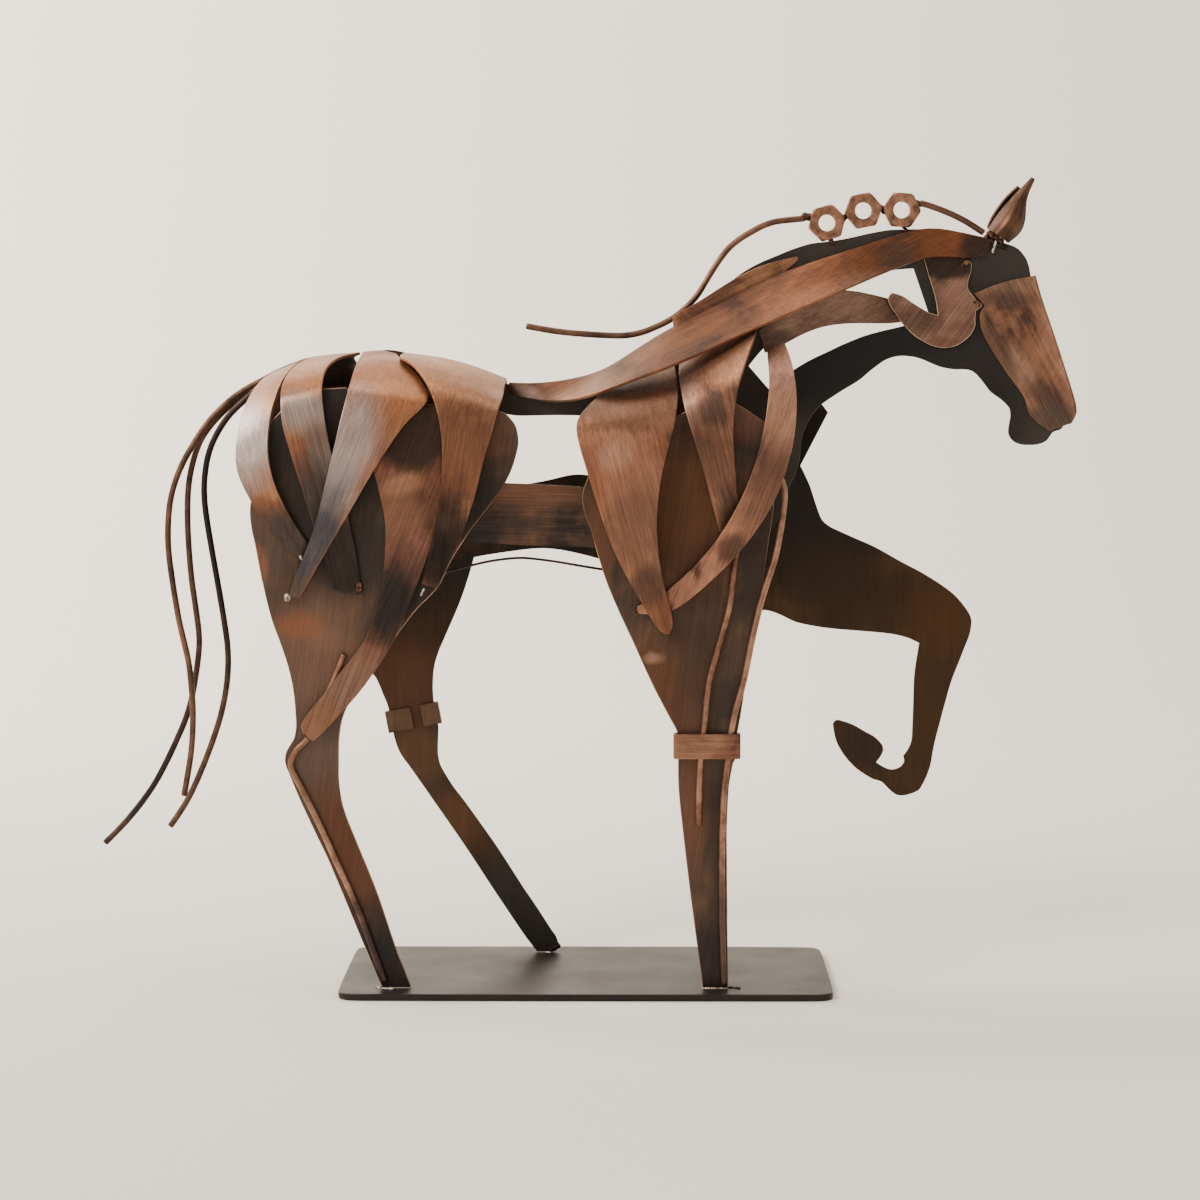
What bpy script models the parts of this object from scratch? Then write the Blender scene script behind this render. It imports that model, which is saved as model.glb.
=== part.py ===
"""Metal horse sculpture: a walking horse of steel plates, bent straps, rods and nuts on a flat base.

Metres, +Z up. The origin is the centre of the base's underside, +X points to the horse's head and
-Y to its near side. The outlines were traced on a side view, whose drawing units run from 0 to 1200
to the right and downwards. from_view() gives the real place of a traced point at a known depth.
"""
import math

import bmesh
import bpy
from mathutils import Matrix, Vector

# Real sizes.
FIGURE_LENGTH = 0.385        # from the tail's tip to the muzzle
BASE_LENGTH = 0.190
BASE_WIDTH = 0.105
BASE_THICKNESS = 0.0025
BASE_CORNER = 0.008          # radius of the base's corners, seen from above
BASE_EDGE = 0.0005           # rounding along the base's rims
LEG_SPREAD = 0.078           # between the middle planes of the near and the far legs
PLATE_THICKNESS = 0.0015     # legs, neck and head
STRAP_THICKNESS = 0.0012
EAR_THICKNESS = 0.0008
ROD_DIAMETER = 0.0025
WIRE_DIAMETER = 0.0010
NUT_ACROSS_FLATS = 0.0130
NUT_BORE = 0.0069
NUT_HEIGHT = 0.0065
NUT_SPACING = 0.0019         # between the circles that just fit in neighbouring nuts
BAND_CLEARANCE = 0.0007      # between the closed band and the leg inside it
CLAMP_CLEARANCE = 0.0003     # between the open clamp and its leg
CLAMP_OPENING = 0.0040       # between the two ends of the open clamp
FOLD_DEPTH = 0.0034          # width of the fold along the nose
GAP = 0.0003                 # left where two pieces are welded together

# The side view that was traced, in drawing units. The figure's length ties them to real sizes.
DRAWN_LENGTH = 974
UNIT = FIGURE_LENGTH / DRAWN_LENGTH
DRAWING_CENTRE = 600
FOCUS = 3405                 # from the eye to the horse's middle plane
EYE_RIGHT = 43.6             # of the base's centre
EYE_BACK = 3368
EYE_UP = 622                 # above the base's top
VIEW_TILT = 4.27             # degrees, looking down
VIEW_TURN = 0.52             # degrees, turned to the tail
SOLE = -1                    # stands for the height of a foot's sole in an outline
CORNER = "corner"            # marks a sharp corner in an outline

# How finely round stretches are divided.
OUTLINE_STEPS = 2
ROD_STEPS = 2
ROD_SIDES = 1                # bevel resolution of a rod

SIDE = LEG_SPREAD / 2
SEAT = BASE_THICKNESS + GAP
PLATE_FACE = PLATE_THICKNESS / 2 + GAP                  # nearest place for a piece beside the neck plate
BESIDE_NECK = PLATE_FACE + STRAP_THICKNESS / 2          # a strap flat on the neck plate
INSIDE_LEG = SIDE - PLATE_FACE - STRAP_THICKNESS / 2    # a strap flat on a leg plate's inner face
ROD_ON_LEG = SIDE + PLATE_FACE + ROD_DIAMETER / 2
OVER_ROD = ROD_ON_LEG + ROD_DIAMETER / 2 + GAP + STRAP_THICKNESS / 2
ROD_PITCH = ROD_DIAMETER + GAP
RIDGE = GAP + ROD_DIAMETER / 2                          # beside the rod and the bar along the back


def layer(count):
    """Distance from the middle plane of a strap that is the count-th on a leg plate's outer face."""
    return SIDE + PLATE_THICKNESS / 2 + count * (GAP + STRAP_THICKNESS) - STRAP_THICKNESS / 2


for old in list(bpy.data.objects):
    bpy.data.objects.remove(old, do_unlink=True)

PARTS = bpy.data.collections.new("metal_horse")
bpy.context.scene.collection.children.link(PARTS)


def finish(name, colour, roughness, metallic):
    """A Principled material."""
    material = bpy.data.materials.new(name)
    material.use_nodes = True
    shader = material.node_tree.nodes["Principled BSDF"]
    shader.inputs["Base Color"].default_value = (*colour, 1.0)
    shader.inputs["Roughness"].default_value = roughness
    shader.inputs["Metallic"].default_value = metallic
    return material


BLACK_STEEL = finish("black_steel", (0.035, 0.032, 0.030), 0.45, 0.6)
DARK_STEEL = finish("dark_steel", (0.050, 0.042, 0.038), 0.50, 0.8)
BROWN_STEEL = finish("brown_steel", (0.120, 0.062, 0.035), 0.45, 0.9)
COPPER_STEEL = finish("copper_steel", (0.360, 0.170, 0.095), 0.40, 0.9)


def add(name, data, material):
    """Put a mesh or a curve in the figure's collection."""
    obj = bpy.data.objects.new(name, data)
    data.materials.append(material)
    PARTS.objects.link(obj)
    return obj


def add_mesh(name, mesh, material):
    """Turn a bmesh into an object."""
    data = bpy.data.meshes.new(name)
    mesh.to_mesh(data)
    mesh.free()
    return add(name, data, material)


# Places.
EYE = Vector((EYE_RIGHT, -EYE_BACK, EYE_UP)) * UNIT + Vector((0, 0, BASE_THICKNESS))
VIEW = (Matrix.Rotation(math.radians(VIEW_TURN), 3, "Z")
        @ Matrix.Rotation(math.radians(-VIEW_TILT), 3, "X"))


def from_view(x, y, depth):
    """The real point that the drawing shows at (x, y), on the upright plane Y = depth."""
    ray = VIEW @ Vector((x - DRAWING_CENTRE, FOCUS, DRAWING_CENTRE - y))
    return EYE + ray * ((depth - EYE.y) / ray.y)


def on_base(x, depth):
    """The real point of a foot's sole that the drawing shows at x, just above the base."""
    middle = VIEW.transposed() @ (Vector((0, depth, SEAT)) - EYE)
    point = from_view(x, DRAWING_CENTRE - FOCUS * middle.z / middle.y, depth)
    return Vector((point.x, point.y, SEAT))


def through(points, steps):
    """Points on a smooth curve through the given ones, steps to each stretch."""
    ends = [points[0] * 2 - points[1], *points, points[-1] * 2 - points[-2]]
    curve = []
    for a, b, c, d in zip(ends, ends[1:], ends[2:], ends[3:]):
        for step in range(steps):
            t = step / steps
            curve.append(0.5 * (2 * b + (c - a) * t + (2 * a - 5 * b + 4 * c - d) * t ** 2
                                + (3 * b - a - 3 * c + d) * t ** 3))
    return [*curve, points[-1]]


# Kinds of piece.
def flat_plate(name, depth, thickness, material, outline, *holes):
    """A plate cut from flat sheet, standing upright along the horse at Y = depth."""
    curve = bpy.data.curves.new(name, "CURVE")
    curve.dimensions = "2D"
    curve.fill_mode = "BOTH"
    curve.extrude = thickness / 2
    curve.resolution_u = OUTLINE_STEPS
    for ring in (outline, *holes):
        spline = curve.splines.new("BEZIER")
        spline.bezier_points.add(len(ring) - 1)
        spline.use_cyclic_u = True
        for knot, (x, y, *kind) in zip(spline.bezier_points, ring):
            place = on_base(x, depth) if y == SOLE else from_view(x, y, depth)
            knot.co = (place.x, place.z, 0)
            knot.handle_left_type = knot.handle_right_type = "VECTOR" if kind else "AUTO"
    plate = add(name, curve, material)
    plate.rotation_euler.x = math.radians(90)
    plate.location.y = depth
    return plate


def sheet(name, rows, thickness, material):
    """A bent sheet through rows of points, given its thickness by Solidify."""
    mesh = bmesh.new()
    across = len(rows[0])
    grid = bmesh.ops.create_grid(mesh, x_segments=across - 1, y_segments=len(rows) - 1, size=0.5)
    places = sorted(grid["verts"], key=lambda vert: (round(vert.co.y, 6), round(vert.co.x, 6)))
    for index, vert in enumerate(places):
        vert.co = rows[index // across][index % across]
    obj = add_mesh(name, mesh, material)
    solid = obj.modifiers.new("thickness", "SOLIDIFY")
    solid.thickness = thickness
    solid.offset = 0
    return obj


def strap(name, material, stations, reach, root=RIDGE, mirrored=False, drawn_far=False,
          steps=1, columns=3, crown=0.0, thickness=STRAP_THICKNESS):
    """A bent strap. A station gives its two edges: x, y and share of the way from root to reach.

    A seventh number lifts the strap's middle, in drawing units. The crown bulges the middle outwards,
    as a share of the strap's width there. A mirrored strap is the near one's twin on the far side.
    """
    edges = ([], [], [])
    outwards = 1 if drawn_far else -1
    for x1, y1, out1, x2, y2, out2, *lift in stations:
        first = from_view(x1, y1, outwards * (root + out1 * (reach - root)))
        last = from_view(x2, y2, outwards * (root + out2 * (reach - root)))
        middle = (first + last) / 2
        middle.z += lift[0] * UNIT if lift else 0
        middle.y += outwards * crown * (last - first).length
        for edge, point in zip(edges, (first, middle, last)):
            edge.append(point)
    rows = []
    for first, middle, last in zip(*(through(edge, steps) for edge in edges)):
        pull = 2 * middle - (first + last) / 2
        row = []
        for column in range(columns + 1):
            t = column / columns
            point = first * (1 - t) ** 2 + pull * 2 * t * (1 - t) + last * t ** 2
            row.append(Vector((point.x, -point.y if mirrored else point.y, point.z)))
        rows.append(row)
    return sheet(name, rows, thickness, material)


def rod(name, material, route, diameter=ROD_DIAMETER, steps=ROD_STEPS):
    """A round rod bent along a route of x, y and depth."""
    curve = bpy.data.curves.new(name, "CURVE")
    curve.dimensions = "3D"
    curve.bevel_depth = diameter / 2
    curve.bevel_resolution = ROD_SIDES
    curve.use_fill_caps = True
    points = through([from_view(*place) for place in route], steps)
    spline = curve.splines.new("POLY")
    spline.points.add(len(points) - 1)
    for knot, point in zip(spline.points, points):
        knot.co = (*point, 1)
    return add(name, curve, material)


def level(route, depth):
    """A route at one depth."""
    return [(x, y, depth) for x, y in route]


def rounded_loop(spline_list, half_length, half_width, radius, centre, sides=3):
    """A closed rectangle with round corners, in the XY plane."""
    points = []
    for turn, (sx, sy) in enumerate(((1, 1), (-1, 1), (-1, -1), (1, -1))):
        for step in range(sides + 1):
            angle = math.radians(90) * (turn + step / sides)
            points.append((centre[0] + sx * (half_length - radius) + radius * math.cos(angle),
                           centre[1] + sy * (half_width - radius) + radius * math.sin(angle)))
    spline = spline_list.new("POLY")
    spline.points.add(len(points) - 1)
    spline.use_cyclic_u = True
    for knot, (x, y) in zip(spline.points, points):
        knot.co = (x, y, 0, 1)


def make_base():
    """The base: a flat plate with round corners and softened rims."""
    mesh = bmesh.new()
    bmesh.ops.create_cube(mesh, size=1, matrix=Matrix.Diagonal((BASE_LENGTH, BASE_WIDTH, BASE_THICKNESS, 1)))
    bmesh.ops.translate(mesh, verts=mesh.verts, vec=(0, 0, BASE_THICKNESS / 2))
    upright = [edge for edge in mesh.edges if abs(edge.verts[0].co.z - edge.verts[1].co.z) > GAP]
    bmesh.ops.bevel(mesh, geom=upright, offset=BASE_CORNER, segments=4, profile=0.5, affect="EDGES")
    base = add_mesh("base", mesh, BLACK_STEEL)
    soften = base.modifiers.new("rims", "BEVEL")
    soften.width = BASE_EDGE
    soften.segments = 2
    soften.limit_method = "ANGLE"
    soften.angle_limit = math.radians(60)


# Flat plates: (x, y) on a smooth stretch, (x, y, CORNER) at a corner.
NEAR_HIND_LEG = [
    (272, 421, CORNER), (280, 412), (300, 390, CORNER), (346, 387.5, CORNER), (362, 399), (400, 403),
    (440, 405), (470, 411), (490, 416), (499, 411), (510, 418), (517, 430), (517, 452), (502, 488),
    (473, 527), (451, 561), (438, 587), (416, 610), (380, 660), (345, 712), (339, 760), (342, 801),
    (354, 835), (368.5, 870), (381.5, 904), (397.5, 952), (410, 983), (411, SOLE, CORNER),
    (382.5, SOLE, CORNER), (361.5, 939), (328.5, 860), (308, 817), (289, 773), (285, 761), (287, 750),
    (294, 738), (296, 722), (288, 666), (271, 617), (255, 544), (250, 515), (252, 495), (258, 470),
    (266, 435)]
FAR_HIND_LEG = [
    (295, 417), (319, 388), (350, 386, CORNER), (368, 395), (400, 398), (440, 400), (470, 406),
    (488, 411), (499, 408), (506, 428), (500, 455), (488, 500), (474, 557.5), (460.7, 600), (444.5, 638),
    (435.6, 661), (433, 682), (434, 703), (438.5, 727), (438, 753), (442, 768), (465, 801.5), (496, 845),
    (522.5, 886), (551, 929), (558.5, 943), (555, SOLE, CORNER), (537, SOLE, CORNER), (522.5, 932),
    (466, 847), (411, 768), (399, 750.5), (393, 731), (388.5, 708), (383, 694), (373, 674), (345, 655),
    (315, 630), (295, 595), (284, 560), (279, 520), (280, 470), (287, 440)]
NEAR_FORELEG = [
    (588, 477), (596, 458), (625, 438), (660, 424), (684, 412), (700, 404.5), (736, 403.5, CORNER),
    (764.6, 422, CORNER), (773, 460), (773.6, 506), (769, 539), (761, 593), (748, 665), (738, 730),
    (735.5, 735), (735.5, 758), (733, 764), (728, 800), (727, 860), (728, 970), (728, SOLE, CORNER),
    (702.7, SOLE, CORNER), (700.6, 970.5), (693.5, 919), (682, 824), (678.3, 785), (678, 760), (678, 735),
    (672, 722), (656, 692), (634, 644), (606.5, 582), (590.5, 529), (582, 499)]
FAR_FORELEG = [
    (604, 455), (628, 436), (665, 420), (700, 404), (740, 398), (790, 400), (821.6, 403.5, CORNER),
    (828, 412.5, CORNER), (800.5, 465.5, CORNER), (810, 486), (819, 513), (824, 522), (837, 530),
    (871, 545), (900, 561), (946, 588), (967, 610), (971.5, 622), (965, 646), (951, 682), (934, 745),
    (921, 787), (907, 794.6), (895, 794), (882, 782), (871, 778), (844, 755), (833, 726), (834.5, 721),
    (839, 720), (866, 732), (881, 743), (883, 751), (876, 762, CORNER), (886, 768), (895, 769),
    (904, 762), (903, 756, CORNER), (910, 745), (912, 733), (914, 677.5), (919, 643, CORNER),
    (907, 637.5), (885, 633), (837, 629), (796, 622), (765.5, 610), (735, 618), (700, 628), (672, 632),
    (652, 612), (630, 570), (612, 520)]
NECK_AND_HEAD = [
    (373, 354.5, CORNER), (384, 350), (405, 352.5), (427, 357), (451, 363.5), (475, 371), (500, 381.5),
    (531, 388), (562, 386.5), (594, 379.5), (611, 371), (639, 353), (670, 334), (676, 324), (681, 319.5),
    (694, 308), (709, 300), (737, 276.5), (753.5, 266), (776, 256), (809, 244), (829, 241.5), (849, 238),
    (885, 230.5), (903, 229.5), (929, 229.5), (949, 231.5), (983, 237), (1007, 244), (1016, 247.5),
    (1022.5, 253.5), (1027.5, 262), (1030, 272), (1032, 284), (1043, 320), (1067, 404), (1067, 416),
    (1061, 429), (1053, 432), (1047, 440), (1039, 444), (1029, 445), (1019, 444), (1011, 439),
    (1008, 431), (1010, 418), (1008.5, 407), (990.6, 392), (977, 375), (969, 370), (954, 369.4),
    (939, 366.5), (921, 359), (905, 356), (892, 357.5), (880.5, 363), (858, 381), (822, 404), (813, 414),
    (806, 426), (801.5, 440), (799.6, 459), (788, 490), (772, 530), (755, 540), (720, 520), (680, 480),
    (640, 440), (600, 419), (582, 415.6), (532, 415.6), (506, 414), (490, 405), (475, 389), (451, 376),
    (427, 366.5), (404, 363), (373, 361, CORNER)]
NECK_WINDOW = [
    (748.8, 366, CORNER), (761, 351), (780, 333), (812, 304), (845, 286), (870, 278), (889, 271),
    (913.5, 268.6, CORNER), (930, 318, CORNER), (903, 326), (867, 335), (827, 352), (793.5, 370),
    (770.5, 391, CORNER)]
CHEEK = [
    (888, 301), (889.5, 295), (893, 293), (911.5, 302), (928, 312), (937.6, 315, CORNER), (935, 298),
    (929, 278), (923, 257, CORNER), (968, 259), (971.6, 265), (969.5, 276.5), (968, 288), (973, 295.6),
    (977, 301), (982.4, 306), (976, 310.5), (975, 326), (964, 341), (945, 348), (924, 342), (906, 328),
    (895, 313)]

flat_plate("near_hind_leg", -SIDE, PLATE_THICKNESS, BROWN_STEEL, NEAR_HIND_LEG)
flat_plate("far_hind_leg", SIDE, PLATE_THICKNESS, DARK_STEEL, FAR_HIND_LEG)
flat_plate("near_foreleg", -SIDE, PLATE_THICKNESS, BROWN_STEEL, NEAR_FORELEG)
flat_plate("far_foreleg", SIDE, PLATE_THICKNESS, DARK_STEEL, FAR_FORELEG)
flat_plate("neck_and_head", 0, PLATE_THICKNESS, BLACK_STEEL, NECK_AND_HEAD, NECK_WINDOW)
flat_plate("cheek", -BESIDE_NECK, STRAP_THICKNESS, COPPER_STEEL, CHEEK)
make_base()

# Straps over the haunches, from the ridge of the rump down.
HAUNCH_STRAPS = {
    1: (1, [
        (277, 372, 0.0, 309, 358.5, 0.0), (264, 379, 0.20, 297, 364.5, 0.22),
        (251, 395, 0.45, 285, 378, 0.58), (242, 417, 0.68, 276, 398, 0.90),
        (236.5, 445, 0.88, 269, 427, 1.06), (237, 470, 0.98, 268, 455, 1.12),
        (247, 494, 1.06, 275, 485, 1.13), (262, 519, 1.08, 287, 510, 1.12),
        (280, 542, 1.05, 300, 532, 1.06), (300, 561, 1.0, 312, 547, 1.0)]),
    2: (1, [
        (311, 358, 0.0, 360.5, 353.5, 0.0, 0.8), (300, 363.5, 0.30, 348, 356, 0.22),
        (290, 372, 0.58, 337, 359.5, 0.44), (283, 384, 0.93, 327, 368, 0.78),
        (280.5, 400, 1.10, 322, 385, 1.09), (282, 424, 1.13, 324, 415, 1.13),
        (290, 452, 1.14, 330, 446, 1.14), (302, 490, 1.12, 340, 484, 1.13),
        (314, 529, 1.06, 350, 524, 1.07), (325, 564, 1.0, 358, 562, 1.0),
        (333, 590, 1.0, 362, 594, 1.0)]),
    3: (2, [
        (363, 353, 0.0, 396, 354.5, 0.0, 3), (359.5, 359, 0.32, 402, 361, 0.34, 2),
        (355, 368, 0.64, 412, 370, 0.54, 1), (350, 384, 0.96, 424, 386, 0.84),
        (346, 398, 1.06, 428, 402, 1.02), (340, 421, 1.12, 411, 418, 1.07),
        (334, 447, 1.15, 397, 435, 1.12), (324, 488, 1.15, 374, 470, 1.15),
        (315, 525, 1.12, 353, 506, 1.13), (305, 552, 1.06, 331, 544, 1.08),
        (295, 577, 1.03, 313, 575, 1.03), (287.5, 597, 1.0, 300, 598, 1.0)]),
    4: (3, [
        (405, 354, 0.0, 505.7, 379.5, 0.0, 7), (399, 357, 0.39, 505, 384, 0.22, 5),
        (407, 361.5, 0.56, 504, 388, 0.42, 3), (415, 367.5, 0.70, 503, 396, 0.70, 2),
        (424.5, 380, 0.94, 500, 405, 0.97), (433, 398, 1.06, 496, 418, 1.06),
        (440, 425, 1.12, 490, 440, 1.12), (442, 455, 1.14, 483, 463, 1.14),
        (440.5, 490, 1.13, 476, 493, 1.13), (434, 530, 1.08, 463, 533, 1.08),
        (425.5, 570, 1.01, 446, 569, 1.01), (421.6, 584, 1.0, 438, 588, 1.0)]),
}
# The far second strap is broader at the top than its twin.
FAR_HAUNCH_STRAP_2 = [
    (311, 358, 0.0, 358.5, 353.5, 0.0, 0.8), (300, 363.5, 0.30, 350, 356.5, 0.22),
    (290, 372, 0.58, 347.5, 361, 0.44), (283, 384, 0.93, 346.5, 369, 0.80),
    (280.5, 400, 1.10, 343, 386, 1.09), (282, 424, 1.13, 336, 415, 1.13),
    (290, 452, 1.14, 334, 446, 1.14), (302, 490, 1.12, 340, 484, 1.13), (314, 529, 1.06, 350, 524, 1.07),
    (325, 564, 1.0, 358, 562, 1.0), (333, 590, 1.0, 362, 594, 1.0)]
for number, (count, stations) in HAUNCH_STRAPS.items():
    strap(f"near_haunch_strap_{number}", COPPER_STEEL, stations, layer(count), steps=2, columns=2)
    strap(f"far_haunch_strap_{number}", DARK_STEEL, FAR_HAUNCH_STRAP_2 if number == 2 else stations,
          layer(count), mirrored=True, steps=2, columns=2)

# The thigh strap lies on the leg above and over the leg's rod below.
ON_LEG = layer(1) / OVER_ROD
strap("thigh_strap", BROWN_STEEL, [
    (374, 411, ON_LEG, 440, 406, ON_LEG), (366, 432, ON_LEG, 441, 425, ON_LEG),
    (374, 473, ON_LEG, 442, 465, ON_LEG),
    (384, 512, ON_LEG, 440, 515, ON_LEG), (385.5, 545, ON_LEG, 429, 552, ON_LEG),
    (381, 591, 0.955, 413, 595, 0.955), (368, 634, 1.0, 396, 637, 1.0), (350, 660, 1.0, 379, 665, 1.0),
    (330, 686, 1.0, 360, 692, 1.0), (310, 711, 1.0, 340, 714, 1.0), (300.5, 725, 1.0, 325, 731, 1.0),
    (304, 734, 1.0, 313, 741, 1.0)], OVER_ROD, steps=2, columns=2)

# Belly.
strap("near_belly_band", BROWN_STEEL, [
    (478, 481, 1.0, 452, 540, 1.0), (506, 483, 1.0, 482, 542.5, 1.0), (532, 484, 1.0, 520, 545, 1.0),
    (560, 485.5, 1.0, 555, 546, 1.0), (584, 487, 1.0, 590, 547, 1.0), (612, 490, 1.0, 618, 550, 1.0)],
    INSIDE_LEG, steps=2)
strap("far_belly_band", DARK_STEEL, [
    (470, 492, 1.0, 446, 565, 1.0), (505, 487, 1.0, 474, 557, 1.0), (533, 483, 1.0, 520, 550, 1.0),
    (553, 479, 1.0, 547, 548, 1.0), (572, 474.5, 1.0, 575, 552.5, 1.0), (588, 475, 1.0, 600, 559, 1.0),
    (612, 479, 1.0, 625, 566, 1.0)], INSIDE_LEG, drawn_far=True, steps=2)
rod("belly_wire", DARK_STEEL, level([
    (434, 576), (443, 573), (472, 565.2), (494, 560.5), (516.5, 558), (532, 558.6), (555, 561.5),
    (578, 565.4), (603, 569.5),
    (618, 572)], WIRE_DIAMETER / 2 - SIDE + PLATE_FACE), diameter=WIRE_DIAMETER, steps=1)

# Shoulders.
TONGUE = [
    (630, 376, 0.0, 672, 352, 0.0), (618, 381, 0.22, 674, 362, 0.30), (606, 389.5, 0.42, 677, 375, 0.58),
    (591, 404, 0.70, 678.5, 392, 0.86), (577, 418, 0.93, 677, 416, 1.04),
    (575, 432, 1.04, 672, 438, 1.09), (584, 462, 1.12, 663, 465, 1.12),
    (598, 508, 1.15, 656.5, 508, 1.15), (614, 554, 1.12, 657, 550, 1.12),
    (632, 586, 1.05, 664, 585, 1.05), (648, 614, 1.0, 671.5, 612, 1.0), (657, 628, 1.0, 674, 626, 1.0),
    (663, 634, 1.0, 669, 634.5, 1.0)]
LEAF = [
    (690, 348, 0.0, 752, 316, 0.0), (684, 356, 0.28, 756, 323, 0.40),
    (678.5, 366, 0.56, 757.5, 331, 0.74), (679.5, 380, 0.82, 752, 345, 0.90),
    (682, 396, 0.98, 744, 368, 1.02), (685, 411, 1.06, 737, 391, 1.08),
    (693, 437, 1.11, 733.5, 417, 1.11), (702, 465, 1.12, 733, 440, 1.12),
    (709, 492, 1.09, 735, 466, 1.10), (714, 512, 1.04, 737, 493, 1.06), (720, 533, 1.0, 741, 512, 1.02)]
for side, metal, twin in (("near", COPPER_STEEL, False), ("far", DARK_STEEL, True)):
    strap(f"{side}_shoulder_tongue", metal, TONGUE, layer(3), root=BESIDE_NECK, mirrored=twin)
    strap(f"{side}_shoulder_leaf", metal, LEAF, layer(1), root=BESIDE_NECK, mirrored=twin)
strap("shoulder_hoop", COPPER_STEEL, [
    (767, 349, 0.60, 784, 342, 0.60), (767.5, 358, 0.72, 789.5, 354, 0.72),
    (769, 370, 0.86, 793.5, 369, 0.86), (769.4, 385, 0.98, 796.3, 386, 0.98),
    (768, 400, 1.05, 797, 406, 1.05), (764.5, 427, 1.10, 795.5, 433, 1.10),
    (757.5, 458, 1.12, 789, 463, 1.12), (746, 489, 1.13, 777, 498, 1.13),
    (731, 519, 1.13, 761.5, 524, 1.13), (713, 546, 1.12, 740, 553, 1.12),
    (694, 567, 1.08, 716, 577, 1.08), (675, 584.5, 1.03, 691, 599, 1.03), (659, 597, 1.0, 673, 612, 1.0),
    (644, 603, 1.0, 648, 615, 1.0), (637, 606.5, 1.0, 638, 613.5, 1.0)],
    layer(2), columns=2)

# Neck.
strap("neck_strap", COPPER_STEEL, [
    (903, 303, -0.01, 903, 322, -0.01), (888, 298.5, 0.0, 889, 323.5, 0.0),
    (868, 293.5, 0.05, 872, 323.5, 0.05), (845, 290, 0.14, 849, 323.5, 0.14),
    (820, 292, 0.26, 824, 326.5, 0.26), (797, 302, 0.38, 802, 334.5, 0.38),
    (776, 317, 0.47, 783, 345, 0.47), (758, 330, 0.52, 765, 353, 0.52)], layer(1),
    root=0, steps=2, columns=2)
MANE = [
    (509, 382.5, 0.0, 508, 394.5, 0.0), (531, 384, 0.02, 531, 400, 0.07),
    (562, 382, 0.06, 560, 403, 0.24), (594, 375, 0.14, 590, 397.5, 0.56),
    (613, 366, 0.21, 620, 385, 0.74), (641, 347, 0.27, 652, 374, 0.80),
    (674, 326.5, 0.29, 688, 359.5, 0.83), (712, 309, 0.27, 733, 339, 0.78),
    (768, 277.5, 0.20, 787, 314.5, 0.60), (827, 257.5, 0.13, 838, 293, 0.38),
    (867, 245, 0.08, 876, 276.5, 0.20), (903, 232.5, 0.05, 905, 265, 0.12),
    (929, 227, 0.04, 927, 257, 0.08), (951, 230, 0.03, 949, 256, 0.06),
    (974, 235, 0.01, 972, 259.5, 0.035), (991, 239.5, 0.0, 986, 255, 0.0)]
strap("near_mane_strap", COPPER_STEEL, MANE, layer(4), root=BESIDE_NECK)
strap("far_mane_strap", DARK_STEEL, MANE, layer(4), root=BESIDE_NECK, mirrored=True)
strap("mane_leaf", COPPER_STEEL, [
    (672.5, 316, 0.24, 673.5, 334, 0.24), (698, 302, 0.235, 702, 322, 0.235),
    (737, 277, 0.19, 742, 300, 0.19), (766, 264, 0.15, 772, 282, 0.15),
    (797, 256.5, 0.10, 798, 260, 0.10)], layer(4),
    root=BESIDE_NECK, steps=2)


# Head.
def make_nose_cover():
    """A sheet folded over the front of the face: near flap, round fold and far flap."""
    flap = BESIDE_NECK
    near = [
        (974, 293.5, 1031, 276.5, 4), (979.5, 300, 1033.5, 285, 3), (984.8, 306, 1035, 291, 2),
        (979.5, 312.5, 1038, 301, 1), (979.5, 320, 1041, 310, 0), (981, 333, 1045.5, 323, 0),
        (995.5, 357, 1053.5, 347, 0), (1012.5, 382, 1062, 373, 0), (1026, 398, 1067.5, 391, 0),
        (1026.3, 410, 1071.5, 404, 0), (1034, 421.5, 1073, 414, 0), (1049, 431, 1067, 424.5, 0)]
    rows = []
    for back_x, back_y, fold_x, fold_y, lift in near:
        back = from_view(back_x, back_y, -flap)
        fold = from_view(fold_x, fold_y, -flap)
        half = []
        for t in (0.0, 0.5, 1.0):
            point = back.lerp(fold, t)
            point.z += lift * UNIT * 4 * t * (1 - t)
            half.append(point)
        along = (fold - back).normalized()
        bend = [fold + along * (FOLD_DEPTH / 2 * math.sin(math.radians(angle)))
                + Vector((0, flap * (1 - math.cos(math.radians(angle))), 0)) for angle in (45, 90, 135)]
        far = [Vector((point.x, -point.y, point.z)) for point in reversed(half)]
        rows.append([*half, *bend, *far])
    return sheet("nose_cover", rows, STRAP_THICKNESS, COPPER_STEEL)


make_nose_cover()
EAR_ROOT = PLATE_FACE + EAR_THICKNESS / 2
strap("near_ear", COPPER_STEEL, [
    (988.5, 229.5, 0, 1007.5, 242.5, 0), (994, 220.5, 0, 1017.5, 235.5, 0),
    (1000, 212, 0, 1023.5, 227, 0), (1007, 203.5, 0, 1025.3, 214, 0), (1013.5, 197, 0, 1025.3, 204, 0),
    (1021.5, 188.5, 0, 1027.5, 193.5, 0),
    (1032, 177.5, 0, 1034.2, 179.3, 0)],
      EAR_ROOT, root=EAR_ROOT, columns=5, crown=0.5, thickness=EAR_THICKNESS)
strap("far_ear", COPPER_STEEL, [
    (987.5, 228, 0, 1003, 241, 0), (990, 220, 0, 1008, 231, 0), (995.5, 211, 0, 1012, 221, 0),
    (1002, 202, 0, 1014, 209, 0), (1008.5, 194.5, 0, 1016, 199, 0), (1018, 186, 0, 1019.8, 187.5, 0)],
    EAR_ROOT, root=EAR_ROOT, drawn_far=True, columns=5, crown=0.5, thickness=EAR_THICKNESS)


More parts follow.
